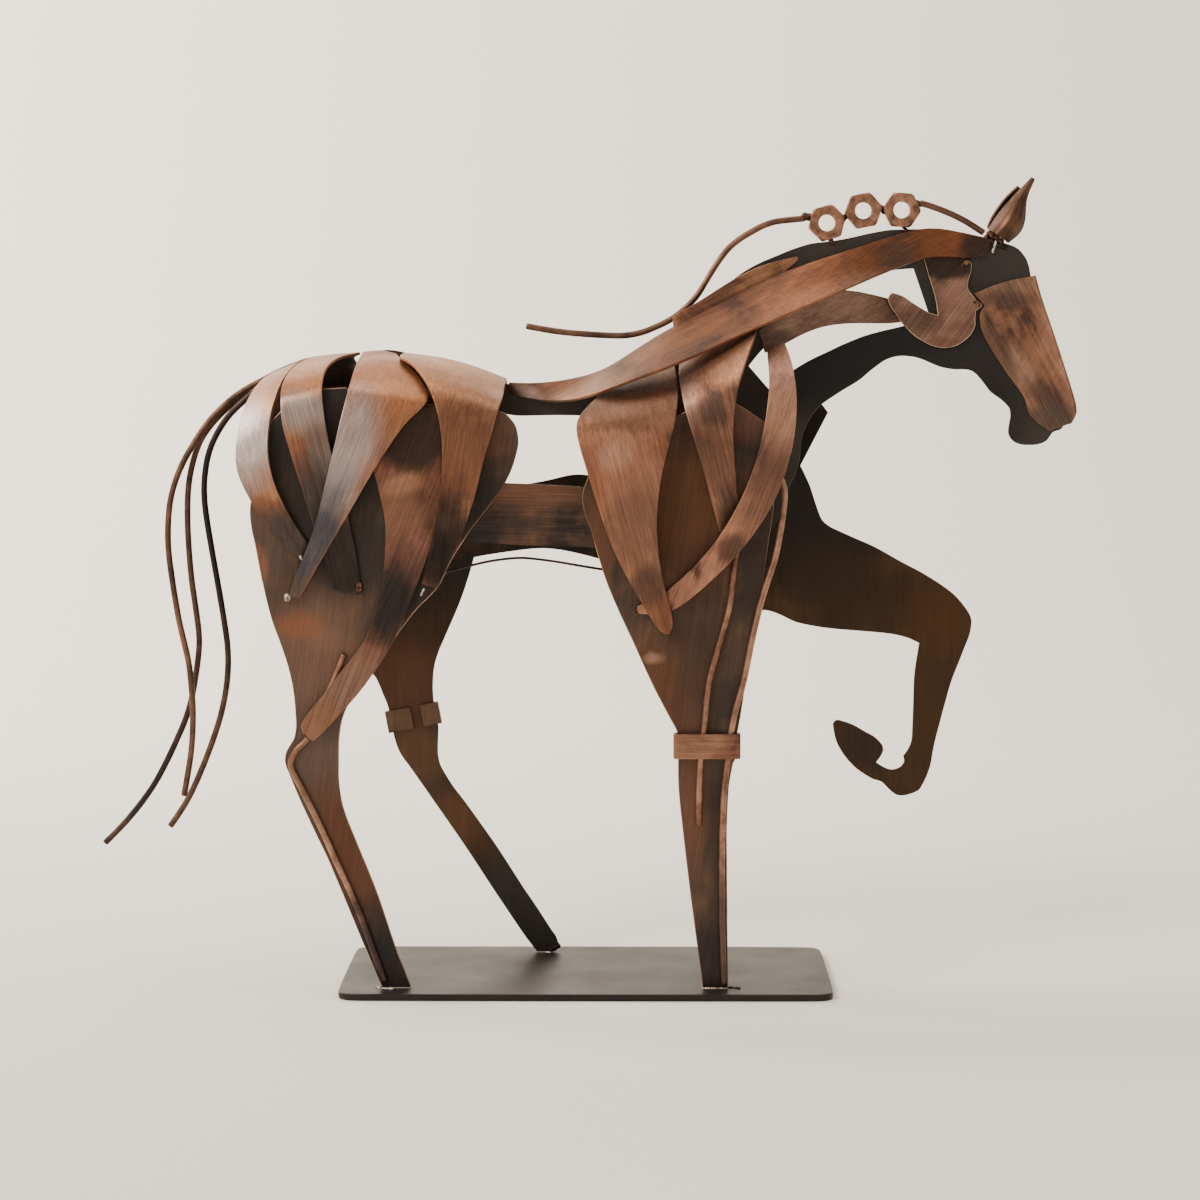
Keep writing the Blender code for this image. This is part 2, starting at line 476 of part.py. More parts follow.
def make_nut(name, centre, turn):
    """A hex nut with its axis across the horse."""
    mesh = bmesh.new()
    upright = Matrix.Rotation(math.radians(90), 4, "X") @ Matrix.Rotation(math.radians(turn), 4, "Z")
    place = Matrix.Translation(centre) @ upright
    bmesh.ops.create_cone(mesh, cap_ends=True, segments=6, radius1=NUT_ACROSS_FLATS / math.sqrt(3),
                          radius2=NUT_ACROSS_FLATS / math.sqrt(3), depth=NUT_HEIGHT, matrix=place)
    nut = add_mesh(name, mesh, COPPER_STEEL)
    hole = bmesh.new()
    bmesh.ops.create_cone(hole, cap_ends=True, segments=16, radius1=NUT_BORE / 2, radius2=NUT_BORE / 2,
                          depth=2 * NUT_HEIGHT, matrix=place)
    cut(nut, hole, "DIFFERENCE")


def beside(angle):
    """A direction in the horse's middle plane, in degrees up from +X."""
    return Vector((math.cos(math.radians(angle)), 0, math.sin(math.radians(angle))))


CUTTERS = bpy.data.collections.new("cutters")
bpy.context.scene.collection.children.link(CUTTERS)


def cut(target, mesh, operation):
    """Cut or join a shape by a Boolean modifier."""
    data = bpy.data.meshes.new(f"{target.name}_{operation.lower()}")
    mesh.to_mesh(data)
    mesh.free()
    tool = bpy.data.objects.new(data.name, data)
    tool.hide_render = True
    tool.display_type = "WIRE"
    CUTTERS.objects.link(tool)
    boolean = target.modifiers.new(operation.lower(), "BOOLEAN")
    boolean.operation = operation
    boolean.solver = "EXACT"
    boolean.object = tool


NUT_PITCH = NUT_ACROSS_FLATS + NUT_SPACING
MIDDLE_NUT = from_view(863.2, 210.7, 0)
make_nut("nut_1", MIDDLE_NUT + beside(198.5) * NUT_PITCH, -14)
make_nut("nut_2", MIDDLE_NUT, -19)
make_nut("nut_3", MIDDLE_NUT + beside(1) * NUT_PITCH, 26)
rod("mane_rod_rear", BROWN_STEEL, level([
    (526, 326), (562, 332), (611, 335.5), (635, 334), (655.5, 327), (676, 316), (695, 298), (705.5, 282),
    (718, 262), (732, 245), (753, 231), (774, 222), (805, 218.5)], 0))
rod("mane_rod_front", BROWN_STEEL, level([
    (919.6, 202.8), (932, 206.5), (950, 213.5), (966, 221.5), (984, 233)], 0))

# Tail: (x, y, depth), the three rods side by side at their roots.
rod("tail_rod_1", BROWN_STEEL, [
    (308, 360.5, 0), (294, 365.5, 0), (280, 371.5, 0), (262, 380.5, 0), (236, 395.5, 0), (210, 420, 0),
    (191, 448, -0.0005), (178, 474, -0.001), (170, 503, -0.0015), (168, 539, -0.002), (171, 571, -0.0025),
    (179, 620, -0.003), (188, 659, -0.003), (191.5, 688, -0.003), (193, 718, -0.003), (191, 753, -0.003),
    (184, 796, -0.003)])
rod("tail_rod_2", BROWN_STEEL, [
    (268, 379, ROD_PITCH), (246, 392, ROD_PITCH), (220, 415, ROD_PITCH), (202, 438, ROD_PITCH),
    (192.5, 464, ROD_PITCH), (188, 493, ROD_PITCH), (188, 532, ROD_PITCH), (191.5, 578, ROD_PITCH),
    (197, 617, ROD_PITCH), (199, 649, ROD_PITCH), (191, 701, ROD_PITCH), (178, 737, ROD_PITCH),
    (155, 783, ROD_PITCH), (129, 818, ROD_PITCH), (105, 843, ROD_PITCH)])
rod("tail_rod_3", BROWN_STEEL, [
    (266, 381.5, -ROD_PITCH), (246, 399, -ROD_PITCH), (227, 418, -ROD_PITCH), (212, 444, -ROD_PITCH),
    (205.5, 470, -ROD_PITCH), (204.5, 500, -ROD_PITCH), (210, 539, -ROD_PITCH), (218.5, 587, -ROD_PITCH),
    (225, 626.5, -ROD_PITCH), (228, 652.5, -ROD_PITCH), (227, 682, -0.004), (220, 718, -0.005),
    (205.5, 760, -0.006), (188, 799, -0.007), (170, 826.5, -0.008)])

# Rods and bands on the legs.
rod("hind_leg_rod", COPPER_STEEL, level([
    (344, 654), (332, 684), (325, 699.5), (308, 738), (296.5, 750.5), (291, 766), (302, 789),
    (319.5, 824.5), (337, 863), (358, 909), (373, 949.5), (384.5, 982)], -ROD_ON_LEG), steps=1)
rod("foreleg_rod_1", COPPER_STEEL, level([
    (737, 548), (733, 579), (729, 610), (718, 649), (709, 683), (705, 721), (700.6, 761), (699, 804),
    (699, 826)], -ROD_ON_LEG), steps=1)
rod("foreleg_rod_2", COPPER_STEEL, level([
    (781, 479), (784, 490), (784, 502), (781, 527), (775, 558), (765, 589), (758, 614), (751, 645),
    (744, 680), (735, 712), (730.5, 735), (727.5, 761), (723.6, 798), (722, 847), (721.6, 904),
    (723, 962), (724, 985)],
    -ROD_ON_LEG), steps=1)


def make_foreleg_band():
    """A closed band round the near foreleg and its two rods."""
    left = from_view(678, 746, -SIDE)
    right = from_view(735.5, 746, -SIDE)
    top = from_view(705, 733.5, -ROD_ON_LEG)
    bottom = from_view(705, 758.5, -ROD_ON_LEG)
    front = -(ROD_ON_LEG + ROD_DIAMETER / 2 + GAP)
    back = -(SIDE - PLATE_FACE)
    centre = ((left.x + right.x) / 2, (front + back) / 2)
    half_length = (right.x - left.x) / 2 + BAND_CLEARANCE
    half_width = (back - front) / 2
    curve = bpy.data.curves.new("foreleg_band", "CURVE")
    curve.dimensions = "2D"
    curve.fill_mode = "BOTH"
    curve.extrude = (top.z - bottom.z) / 2
    rounded_loop(curve.splines, half_length + STRAP_THICKNESS, half_width + STRAP_THICKNESS,
                 1.5 * STRAP_THICKNESS, centre)
    rounded_loop(curve.splines, half_length, half_width, 0.5 * STRAP_THICKNESS, centre)
    band = add("foreleg_band", curve, COPPER_STEEL)
    band.location.z = (top.z + bottom.z) / 2


def make_far_leg_clamp():
    """A band round the far hind leg, bent from one strip and open towards the near side."""
    tilt = math.radians(11)
    left = from_view(390.5, 721, SIDE)
    right = from_view(436.5, 713, SIDE)
    half_length = (right - left).length / 2 + CLAMP_CLEARANCE + STRAP_THICKNESS / 2
    half_width = PLATE_FACE + STRAP_THICKNESS / 2
    height = (from_view(400, 707, SIDE) - from_view(400, 729, SIDE)).length
    slit = 0.15 * half_length
    side = [(slit + CLAMP_OPENING / 2, -half_width), (half_length, -half_width),
        (half_length, half_width),
            (-half_length, half_width), (-half_length, -half_width),
            (slit - CLAMP_OPENING / 2, -half_width)]
    mesh = bmesh.new()
    grid = bmesh.ops.create_grid(mesh, x_segments=len(side) - 1, y_segments=1, size=0.5)
    corners = sorted(grid["verts"], key=lambda vert: (round(vert.co.y, 6), round(vert.co.x, 6)))
    for index, vert in enumerate(corners):
        x, y = side[index % len(side)]
        vert.co = (x, y, height * (index // len(side) - 0.5))
    clamp = add_mesh("far_leg_clamp", mesh, BROWN_STEEL)
    clamp.location = (left + right) / 2
    clamp.rotation_euler.y = -tilt
    solid = clamp.modifiers.new("thickness", "SOLIDIFY")
    solid.thickness = STRAP_THICKNESS
    solid.offset = 0
    solid.use_even_offset = True


make_foreleg_band()
make_far_leg_clamp()
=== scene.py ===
"""Dress the metal horse: brushed, heat-browned steel sheet, rods, nuts and welds on a black base.

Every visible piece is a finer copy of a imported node, in metres and in the same frame. The drawing
units of view_point() are those of the side view that the part was traced on.
"""
import logging
import math
from dataclasses import dataclass, field, replace
from enum import Enum
from typing import Sequence

import bmesh
import bpy
from mathutils import Matrix, Vector
from mathutils.bvhtree import BVHTree


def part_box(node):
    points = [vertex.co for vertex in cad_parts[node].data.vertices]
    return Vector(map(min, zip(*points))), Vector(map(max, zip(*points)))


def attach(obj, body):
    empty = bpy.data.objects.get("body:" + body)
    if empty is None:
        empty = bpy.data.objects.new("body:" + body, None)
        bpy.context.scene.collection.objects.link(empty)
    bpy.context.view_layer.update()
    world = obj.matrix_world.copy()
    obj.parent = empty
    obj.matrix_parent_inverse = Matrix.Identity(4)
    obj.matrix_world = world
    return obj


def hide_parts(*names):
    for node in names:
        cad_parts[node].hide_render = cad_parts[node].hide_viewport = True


LOG = logging.getLogger("metal_horse")
BODY = "root"
MM = 0.001
MERGE = 0.01 * MM            # points of a node that are closer than this are one
FINE_MERGE = 0.005 * MM      # the same for a finished mesh
PICTURE = 1200               # width of the photograph, in drawing units
SENSOR = 36                  # width of the camera's sensor, in millimetres
FRAY = 0.9                   # how far the clouds fray the edge of a heat mark
BREAK = 1.6                  # how far brush strokes break it up
BUMP_DISTANCE = 0.1 * MM

UNIT = 0.385 / 974           # metres to a drawing unit, at the horse's middle plane
FOCUS = 3405.0
EYE = Vector((43.6 * UNIT, -3368 * UNIT, 622 * UNIT + 2.5 * MM))
VIEW_TILT = 4.27
VIEW_TURN = 0.52
PLATE_SIDE = 39 * MM         # middle plane of the leg plates


class Slot(Enum):
    """The record's material slots."""

    BLACK = "black_steel"
    DARK = "dark_steel"
    BROWN = "brown_steel"
    COPPER = "copper_steel"


class Grain(Enum):
    """How the brushing runs on a piece, in degrees clockwise from upright."""

    UPRIGHT = 0.0
    SLIGHT = 8.0
    LEANING = 22.0
    SWEPT = 36.0
    RISING = 64.0
    LEVEL = 90.0
    BACKWARD = -14.0
    FALLING = -28.0


def linear(colour: str) -> tuple[float, float, float, float]:
    """Turn an sRGB hex colour to linear values.

    Args:
        colour: six hex digits, with or without a leading hash.

    Returns:
        Linear red, green and blue, and an alpha of one.
    """
    digits = colour.lstrip("#")
    parts = [int(digits[i:i + 2], 16) / 255 for i in (0, 2, 4)]
    red, green, blue = (p / 12.92 if p <= 0.04045 else ((p + 0.055) / 1.055) ** 2.4 for p in parts)
    return red, green, blue, 1.0


def add_node(tree: bpy.types.NodeTree, kind: str, settings: dict | None = None,
             **links: object) -> bpy.types.Node:
    """Add a node, set its properties and fill or link its inputs.

    Args:
        tree: the node tree.
        kind: the node's type name.
        settings: properties of the node.
        **links: inputs, by name or by i and a number; a value is set and a socket is linked.

    Returns:
        The new node.
    """
    node = tree.nodes.new(kind)
    for name, value in (settings or {}).items():
        setattr(node, name, value)
    for name, value in links.items():
        key = int(name[1:]) if name[0] == "i" and name[1:].isdigit() else name.replace("_", " ")
        socket = node.inputs[key]
        if isinstance(value, bpy.types.NodeSocket):
            tree.links.new(value, socket)
        else:
            socket.default_value = value
    return node


def view_ray(x: float, y: float) -> Vector:
    """The direction in which the side view's eye sees a point."""
    turn = Matrix.Rotation(math.radians(VIEW_TURN), 3,
                           "Z") @ Matrix.Rotation(math.radians(-VIEW_TILT), 3, "X")
    return turn @ Vector((x - PICTURE / 2, FOCUS, PICTURE / 2 - y))


def view_point(x: float, y: float, depth: float) -> Vector:
    """The real place of a point of the side view.

    Args:
        x: drawing units to the right.
        y: drawing units down.
        depth: the upright plane, as its Y.

    Returns:
        The point in metres.
    """
    ray = view_ray(x, y)
    return EYE + ray * ((depth - EYE.y) / ray.y)


def packed(name: str) -> bpy.types.Object:
    """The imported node's object."""
    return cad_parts[name]


def node_copy(name: str) -> bmesh.types.BMesh:
    """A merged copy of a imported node's mesh.

    Args:
        name: the node.

    Returns:
        The copy, with its doubles merged.
    """
    mesh = bmesh.new()
    mesh.from_mesh(packed(name).data)
    bmesh.ops.remove_doubles(mesh, verts=mesh.verts, dist=MERGE)
    return mesh


def on_node(name: str, x: float, y: float) -> Vector:
    """Where a point of the side view lies on a node's surface.

    Args:
        name: the node.
        x: drawing units to the right.
        y: drawing units down.

    Returns:
        The point on the surface, or the nearest one where the view passes beside the node.
    """
    mesh = node_copy(name)
    tree = BVHTree.FromBMesh(mesh)
    mesh.free()
    ray = view_ray(x, y)
    hit = tree.ray_cast(EYE, ray.normalized())[0]
    if hit is None:
        low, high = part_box(name)
        hit = tree.find_nearest(view_point(x, y, (low[1] + high[1]) / 2))[0]
    return hit


def new_object(name: str, data: bpy.types.ID) -> bpy.types.Object:
    """Link a new object at the origin."""
    obj = bpy.data.objects.new(name, data)
    bpy.context.scene.collection.objects.link(obj)
    return obj


def baked(obj: bpy.types.Object) -> bpy.types.Object:
    """Turn an object with its modifiers into a plain mesh object at the origin, of the same name.

    Args:
        obj: the object, which is removed.

    Returns:
        The plain object, with its place in its mesh.
    """
    bpy.context.view_layer.update()
    graph = bpy.context.evaluated_depsgraph_get()
    data = bpy.data.meshes.new_from_object(obj.evaluated_get(graph))
    name = obj.name
    matrix = obj.matrix_world.copy()
    bpy.data.objects.remove(obj, do_unlink=True)
    data.transform(matrix)
    return new_object(name, data)


def kept_mesh(name: str, mesh: bmesh.types.BMesh) -> bpy.types.Mesh:
    """Turn a working mesh into mesh data, and free it."""
    data = bpy.data.meshes.new(name)
    mesh.to_mesh(data)
    mesh.free()
    return data


def route_mesh(name: str, points: Sequence[Vector]) -> bpy.types.Mesh:
    """A chain of edges through some points."""
    data = bpy.data.meshes.new(name)
    links = [(i, i + 1) for i in range(len(points) - 1)]
    data.from_pydata([tuple(point) for point in points], links, [])
    return data


def smooth_shaded(obj: bpy.types.Object, angle: float) -> None:
    """Shade smooth, with sharp edges over an angle in degrees."""
    data = obj.data
    data.polygons.foreach_set("use_smooth", [True] * len(data.polygons))
    data.set_sharp_from_angle(angle=math.radians(angle))
    data.update()


@dataclass(frozen=True)
class HeatTintAndPaintedLight:
    """A soft-edged patch of colour placed on the side view: heat tint that the torch or the brush
    left, and on some pieces painted highlights, sheen and shade.

    Attributes:
        x: middle, drawing units to the right.
        y: middle, drawing units down.
        wide: half its width, in drawing units.
        high: half its height, in drawing units.
        colour: sRGB hex.
        strength: how much of the colour shows in the middle.
        turn: degrees clockwise.
        soft: width of its faded edge, as a share of its half width.
        strokes: 0 to 1, how much it breaks up into brush strokes.
    """

    x: float
    y: float
    wide: float
    high: float
    colour: str
    strength: float = 0.8
    turn: float = 0.0
    soft: float = 0.55
    strokes: float = 0.15


def noise(tree: bpy.types.NodeTree, place: bpy.types.NodeSocket, width: float,
          **inputs: float) -> bpy.types.NodeSocket:
    """Noise in space.

    Args:
        tree: the material's tree.
        place: where the noise is read.
        width: of its patches, in millimetres.
        **inputs: other inputs of the noise.

    Returns:
        A value from 0 to 1.
    """
    return add_node(tree, "ShaderNodeTexNoise", {"noise_dimensions": "3D"}, Vector=place,
                    Scale=1 / (width * MM), **inputs).outputs[0]


def reckoned(tree: bpy.types.NodeTree, operation: str, *values: object) -> bpy.types.NodeSocket:
    """The result of a Math node on some values or sockets."""
    return add_node(tree, "ShaderNodeMath", {"operation": operation},
                    **{f"i{index}": value for index, value in enumerate(values)}).outputs[0]


def ranged(tree: bpy.types.NodeTree, value: bpy.types.NodeSocket, given: tuple[float, float],
           wanted: tuple[float, float], kind: str = "LINEAR") -> bpy.types.NodeSocket:
    """Map one range of values to another.

    Args:
        tree: the material's tree.
        value: what is mapped.
        given: the range that it has.
        wanted: the range that it gets.
        kind: interpolation.

    Returns:
        The mapped value.
    """
    return add_node(tree, "ShaderNodeMapRange", {"interpolation_type": kind}, i0=value,
                    i1=given[0], i2=given[1], i3=wanted[0], i4=wanted[1]).outputs[0]


def blended(tree: bpy.types.NodeTree, mask: bpy.types.NodeSocket, under: object,
            over: object) -> bpy.types.NodeSocket:
    """Mix two colours, with the second one where the mask is 1."""
    return add_node(tree, "ShaderNodeMix", {"data_type": "RGBA"}, i0=mask, i6=under,
                    i7=over).outputs[2]


def metal_base(name: str, metallic: float) -> tuple[bpy.types.Material, bpy.types.Node,
                                                    bpy.types.NodeSocket]:
    """Start a material.

    Args:
        name: the material's name.
        metallic: share of bare metal.

    Returns:
        The material, its shader and its object coordinates.
    """
    material = bpy.data.materials.new(name)
    material.use_nodes = True
    shader = material.node_tree.nodes["Principled BSDF"]
    shader.inputs["Metallic"].default_value = metallic
    place = add_node(material.node_tree, "ShaderNodeTexCoord").outputs["Object"]
    return material, shader, place


def surfaced(shader: bpy.types.Node, colour: bpy.types.NodeSocket, rough: bpy.types.NodeSocket,
             relief: bpy.types.NodeSocket, strength: float,
             distance: float = BUMP_DISTANCE) -> None:
    """Link a shader's colour, roughness and bump.

    Args:
        shader: the shader.
        colour: its colour.
        rough: its roughness.
        relief: height of the bump.
        strength: of the bump.
        distance: of the bump.
    """
    tree = shader.id_data
    bump = add_node(tree, "ShaderNodeBump", Strength=strength, Distance=distance, Height=relief)
    for name, socket in (("Base Color", colour), ("Roughness", rough), ("Normal", bump.outputs[0])):
        tree.links.new(socket, shader.inputs[name])


def tint_and_light_marked(tree: bpy.types.NodeTree, place: bpy.types.NodeSocket, colour: bpy.types.NodeSocket,
                mark: HeatTintAndPaintedLight, fray: bpy.types.NodeSocket, lines: bpy.types.NodeSocket,
                depth: float) -> bpy.types.NodeSocket:
    """Mix one mark over a colour: heat tint, and on some pieces painted highlights, sheen and
    shade.

    Args:
        tree: the material's tree.
        place: object coordinates.
        colour: the colour under the mark.
        mark: the mark.
        fray: noise that frays its edge.
        lines: the brush lines.
        depth: the upright plane that the mark is placed on, as its Y.

    Returns:
        The mixed colour.
    """
    middle = view_point(mark.x, mark.y, depth)
    local = add_node(tree, "ShaderNodeMapping", {"vector_type": "TEXTURE"}, Vector=place,
                     Location=tuple(middle),
                     Rotation=(0, math.radians(mark.turn), 0),
                     Scale=(mark.wide * UNIT, 1000.0, mark.high * UNIT))
    length = add_node(tree, "ShaderNodeVectorMath", {"operation": "LENGTH"}, i0=local.outputs[0])
    frayed = reckoned(tree, "MULTIPLY_ADD", fray, FRAY, length.outputs["Value"])
    broken = reckoned(tree, "MULTIPLY_ADD", lines, BREAK * mark.strokes, frayed)
    # Noise is about a half on average, so the edge moves out by half of each share.
    edge = 1.0 + FRAY / 2 + BREAK / 2 * mark.strokes
    mask = ranged(tree, broken, (edge - mark.soft, edge + mark.soft), (mark.strength, 0.0),
                  "SMOOTHSTEP")
    return blended(tree, mask, colour, linear(mark.colour))


def brush_lines(tree: bpy.types.NodeTree, place: bpy.types.NodeSocket, lean: float,
                spacing: float, length_share: float) -> bpy.types.NodeSocket:
    """Parallel lines of a wire brush, as noise that is drawn out along them.

    Args:
        tree: the material's tree.
        place: object coordinates.
        lean: degrees clockwise from upright.
        spacing: distance between lines, in millimetres.
        length_share: how far a line is drawn out; small is long.

    Returns:
        A value from 0 to 1.
    """
    turned = add_node(tree, "ShaderNodeMapping", {"vector_type": "POINT"}, Vector=place,
                      Rotation=(0, math.radians(-lean), 0))
    drawn = add_node(tree, "ShaderNodeMapping", {"vector_type": "POINT"}, Vector=turned.outputs[0],
                     Scale=(1.0, 0.3, length_share))
    return noise(tree, drawn.outputs[0], spacing, Detail=3.0, Roughness=0.62)


@dataclass(frozen=True)
class BrushedPatina:
    """Heat-browned mild steel sheet: torched to copper and brown, wire-brushed, then waxed.

    The eye sees soft clouds of copper, brown and gunmetal a few centimetres wide under fine
    parallel brush lines, with fainter lines across them. The wax leaves a low gloss over metal.

    Attributes:
        name: the material's name.
        light: sRGB hex of the copper clouds.
        middle: sRGB hex between them.
        dark: sRGB hex of the gunmetal clouds.
        grain: how the brush lines run.
        cloud_mm: width of a cloud.
        dark_share: 0 to 1, how much of the face is dark.
        gloss: roughness of the face.
        metallic: share of the face that is bare metal under the wax.
        line_mm: distance between brush lines; real ones are about 0.1 mm, drawn coarser to show.
        line_depth: strength of the brush lines' bump.
        line_shade: how much the lines darken and lighten the colour.
        hatch: 0 to 1, how much of a second set of lines crosses them.
        marks: heat tint over the clouds, and on some pieces painted highlights, sheen and shade.
        marks_depth: the upright plane that the marks are placed on, as its Y.
    """

    name: str
    light: str = "#9A6B50"
    middle: str = "#7A4E39"
    dark: str = "#4B342A"
    grain: Grain = Grain.UPRIGHT
    cloud_mm: float = 22.0
    dark_share: float = 0.30
    gloss: float = 0.40
    metallic: float = 0.85
    line_mm: float = 0.42
    line_depth: float = 0.16
    line_shade: float = 0.56
    hatch: float = 0.12
    marks: tuple[HeatTintAndPaintedLight, ...] = field(default_factory=tuple)
    marks_depth: float = -PLATE_SIDE

    def build(self) -> bpy.types.Material:
        """Build the material's nodes.

        Returns:
            The material.
        """
        material, shader, place = metal_base(self.name, self.metallic)
        tree = material.node_tree
        lean = self.grain.value
        cloud = noise(tree, place, self.cloud_mm, Detail=5.0, Roughness=0.55, Distortion=0.35)
        lines = brush_lines(tree, place, lean, self.line_mm, 0.02)
        # Broad strokes, about 2 mm, are where the brush pressed harder; the others cross them.
        strokes = brush_lines(tree, place, lean, 2.2, 0.09)
        across = brush_lines(tree, place, lean + 58.0, 0.8, 0.05)
        toned = reckoned(tree, "MULTIPLY_ADD", strokes, 0.14, cloud)
        colour = self._clouds(tree, toned)
        # The marks lay heat tint, and on some pieces painted highlights, sheen and shade.
        for mark in self.marks:
            colour = tint_and_light_marked(tree, place, colour, mark, cloud, strokes, self.marks_depth)
        half = self.line_shade / 2
        shade = ranged(tree, lines, (0.32, 0.68), (1 - half, 1 + half))
        press = ranged(tree, strokes, (0.32, 0.68), (1 - half * 0.4, 1 + half * 0.4))
        cross = ranged(tree, across, (0.34, 0.66), (1 - half * self.hatch, 1 + half * self.hatch))
        every = reckoned(tree, "MULTIPLY", reckoned(tree, "MULTIPLY", shade, press), cross)
        tinted = add_node(tree, "ShaderNodeVectorMath", {"operation": "SCALE"}, i0=colour,
                          Scale=every)
        rough = ranged(tree, toned, (0.37, 0.77), (self.gloss + 0.10, self.gloss - 0.06))
        relief = reckoned(tree, "MULTIPLY_ADD", strokes, 0.5, lines)
        surfaced(shader, tinted.outputs[0], rough, relief, self.line_depth)
        return material

    def _clouds(self, tree: bpy.types.NodeTree,
                toned: bpy.types.NodeSocket) -> bpy.types.NodeSocket:
        """The clouds' colour: dark, middle and light along a ramp.

        Args:
            tree: the material's tree.
            toned: the noise that the ramp reads.

        Returns:
            The colour.
        """
        ramp = add_node(tree, "ShaderNodeValToRGB", i0=toned)
        # At a dark share of 0.3 the ramp starts a little under the middle of the noise.
        low = 0.42 + 0.25 * (self.dark_share - 0.30)
        bar = ramp.color_ramp
        bar.interpolation = "EASE"
        for stop, place, colour in zip(bar.elements, (low, low + 0.26), (self.dark, self.light)):
            stop.position = place
            stop.color = linear(colour)
        bar.elements.new(low + 0.11).color = linear(self.middle)
        return ramp.outputs[0]


@dataclass(frozen=True)
class WornEdge:
    """Sheared and filed edges of the sheet: browned with the face, rubbed to bare steel in places.

    Attributes:
        name: the material's name.
        bright: sRGB hex where it is bare.
        dull: sRGB hex where patina stays.
        bare: 0 to 1, how much of the edge is rubbed bare.
        gloss: roughness.
    """

    name: str
    bright: str = "#A98A72"
    dull: str = "#6F4B39"
    bare: float = 0.35
    gloss: float = 0.38

    def build(self) -> bpy.types.Material:
        """Build the material's nodes.

        Returns:
            The material.
        """
        material, shader, place = metal_base(self.name, 0.85)
        tree = material.node_tree
        # Bare stretches are 10 to 20 mm long, where hands and the file touched the edge.
        wear = noise(tree, place, 12, Detail=4.0, Roughness=0.6)
        start = 0.62 - 0.30 * self.bare
        mask = ranged(tree, wear, (start, start + 0.40), (0.0, 1.0))
        colour = blended(tree, mask, linear(self.dull), linear(self.bright))
        rough = ranged(tree, wear, (0.3, 0.7), (self.gloss + 0.12, self.gloss))
        surfaced(shader, colour, rough, noise(tree, place, 0.5, Detail=2.0), 0.25)
        return material


@dataclass(frozen=True)
class ScaledRod:
    """Hot-rolled mild steel bar: torched brown, with mill scale left in cloudy stretches.

    The eye sees a dull sheen along the bar, darker where the scale holds, and small pits.

    Attributes:
        name: the material's name.
        light: sRGB hex where the scale is gone.
        dark: sRGB hex of the scale.
        stretch_mm: length of a cloudy stretch.
        gloss: roughness.
        marks: heat marks over the clouds.
        marks_depth: the upright plane that the marks are placed on, as its Y.
    """

    name: str
    light: str = "#86604D"
    dark: str = "#4A352C"
    stretch_mm: float = 9.0
    gloss: float = 0.40
    marks: tuple[HeatTintAndPaintedLight, ...] = field(default_factory=tuple)
    marks_depth: float = 0.0

    def build(self) -> bpy.types.Material:
        """Build the material's nodes.

        Returns:
            The material.
        """
        material, shader, place = metal_base(self.name, 0.85)
        tree = material.node_tree
        scale = noise(tree, place, self.stretch_mm, Detail=5.0, Roughness=0.62)
        mask = ranged(tree, scale, (0.36, 0.64), (0.0, 1.0))
        colour = blended(tree, mask, linear(self.dark), linear(self.light))
        for mark in self.marks:
            colour = tint_and_light_marked(tree, place, colour, mark, scale, scale, self.marks_depth)
        rough = ranged(tree, scale, (0.3, 0.7), (self.gloss + 0.15, self.gloss))
        # Pits of rolled bar are 0.3 to 1 mm wide.
        surfaced(shader, colour, rough, noise(tree, place, 0.8, Detail=3.0), 0.3)
        return material


@dataclass(frozen=True)
class SatinBlack:
    """Hot-rolled steel under a thin satin black lacquer: dark, with a broad soft gloss.

    The eye sees a brown-grey haze where light falls along the plate, and a fine orange peel.

    Attributes:
        name: the material's name.
        colour: sRGB hex.
        haze: sRGB hex of the faint brown haze.
        gloss: roughness.
        peel_mm: width of the lacquer's orange peel.
        metallic: share of bare metal that shines through.
        shine: strength of the lacquer's reflection.
    """

    name: str
    colour: str = "#1E1A17"
    haze: str = "#2B2520"
    gloss: float = 0.42
    peel_mm: float = 0.9
    metallic: float = 0.1
    shine: float = 0.2

    def build(self) -> bpy.types.Material:
        """Build the material's nodes.

        Returns:
            The material.
        """
        material, shader, place = metal_base(self.name, self.metallic)
        shader.inputs["Specular IOR Level"].default_value = self.shine
        tree = material.node_tree
        haze = noise(tree, place, 34, Detail=5.0, Roughness=0.58)
        mask = ranged(tree, haze, (0.38, 0.66), (0.0, 0.8))
        colour = blended(tree, mask, linear(self.colour), linear(self.haze))
        rough = ranged(tree, haze, (0.3, 0.7), (self.gloss - 0.04, self.gloss + 0.08))
        surfaced(shader, colour, rough, noise(tree, place, self.peel_mm, Detail=2.0), 0.10)
        return material


@dataclass(frozen=True)
class WeldMetal:
    """Weld metal as it set: rippled, sooty where it is old and bright where the slag broke off.

    Attributes:
        name: the material's name.
        bare: sRGB hex of the bright metal.
        soot: sRGB hex of the burnt skin.
        bare_share: 0 to 1, how much is bright.
        ripple_mm: distance between ripples.
    """

    name: str
    bare: str = "#94684F"
    soot: str = "#4A352B"
    bare_share: float = 0.5
    ripple_mm: float = 0.9

    def build(self) -> bpy.types.Material:
        """Build the material's nodes.

        Returns:
            The material.
        """
        material, shader, place = metal_base(self.name, 0.9)
        tree = material.node_tree
        skin = noise(tree, place, 2.0, Detail=4.0, Roughness=0.6)
        start = 0.66 - 0.32 * self.bare_share
        mask = ranged(tree, skin, (start, start + 0.14), (0.0, 1.0))
        colour = blended(tree, mask, linear(self.soot), linear(self.bare))
        rough = ranged(tree, skin, (0.3, 0.7), (0.55, 0.28))
        ripples = noise(tree, place, self.ripple_mm, Detail=3.0)
        surfaced(shader, colour, rough, ripples, 0.5, 0.15 * MM)
        return material


Finish = BrushedPatina | WornEdge | ScaledRod | SatinBlack | WeldMetal
BUILT: dict[str, bpy.types.Material] = {}


def material_of(finish: Finish) -> bpy.types.Material:
    """The finish's material, built once."""
    if finish.name not in BUILT:
        BUILT[finish.name] = finish.build()
    return BUILT[finish.name]


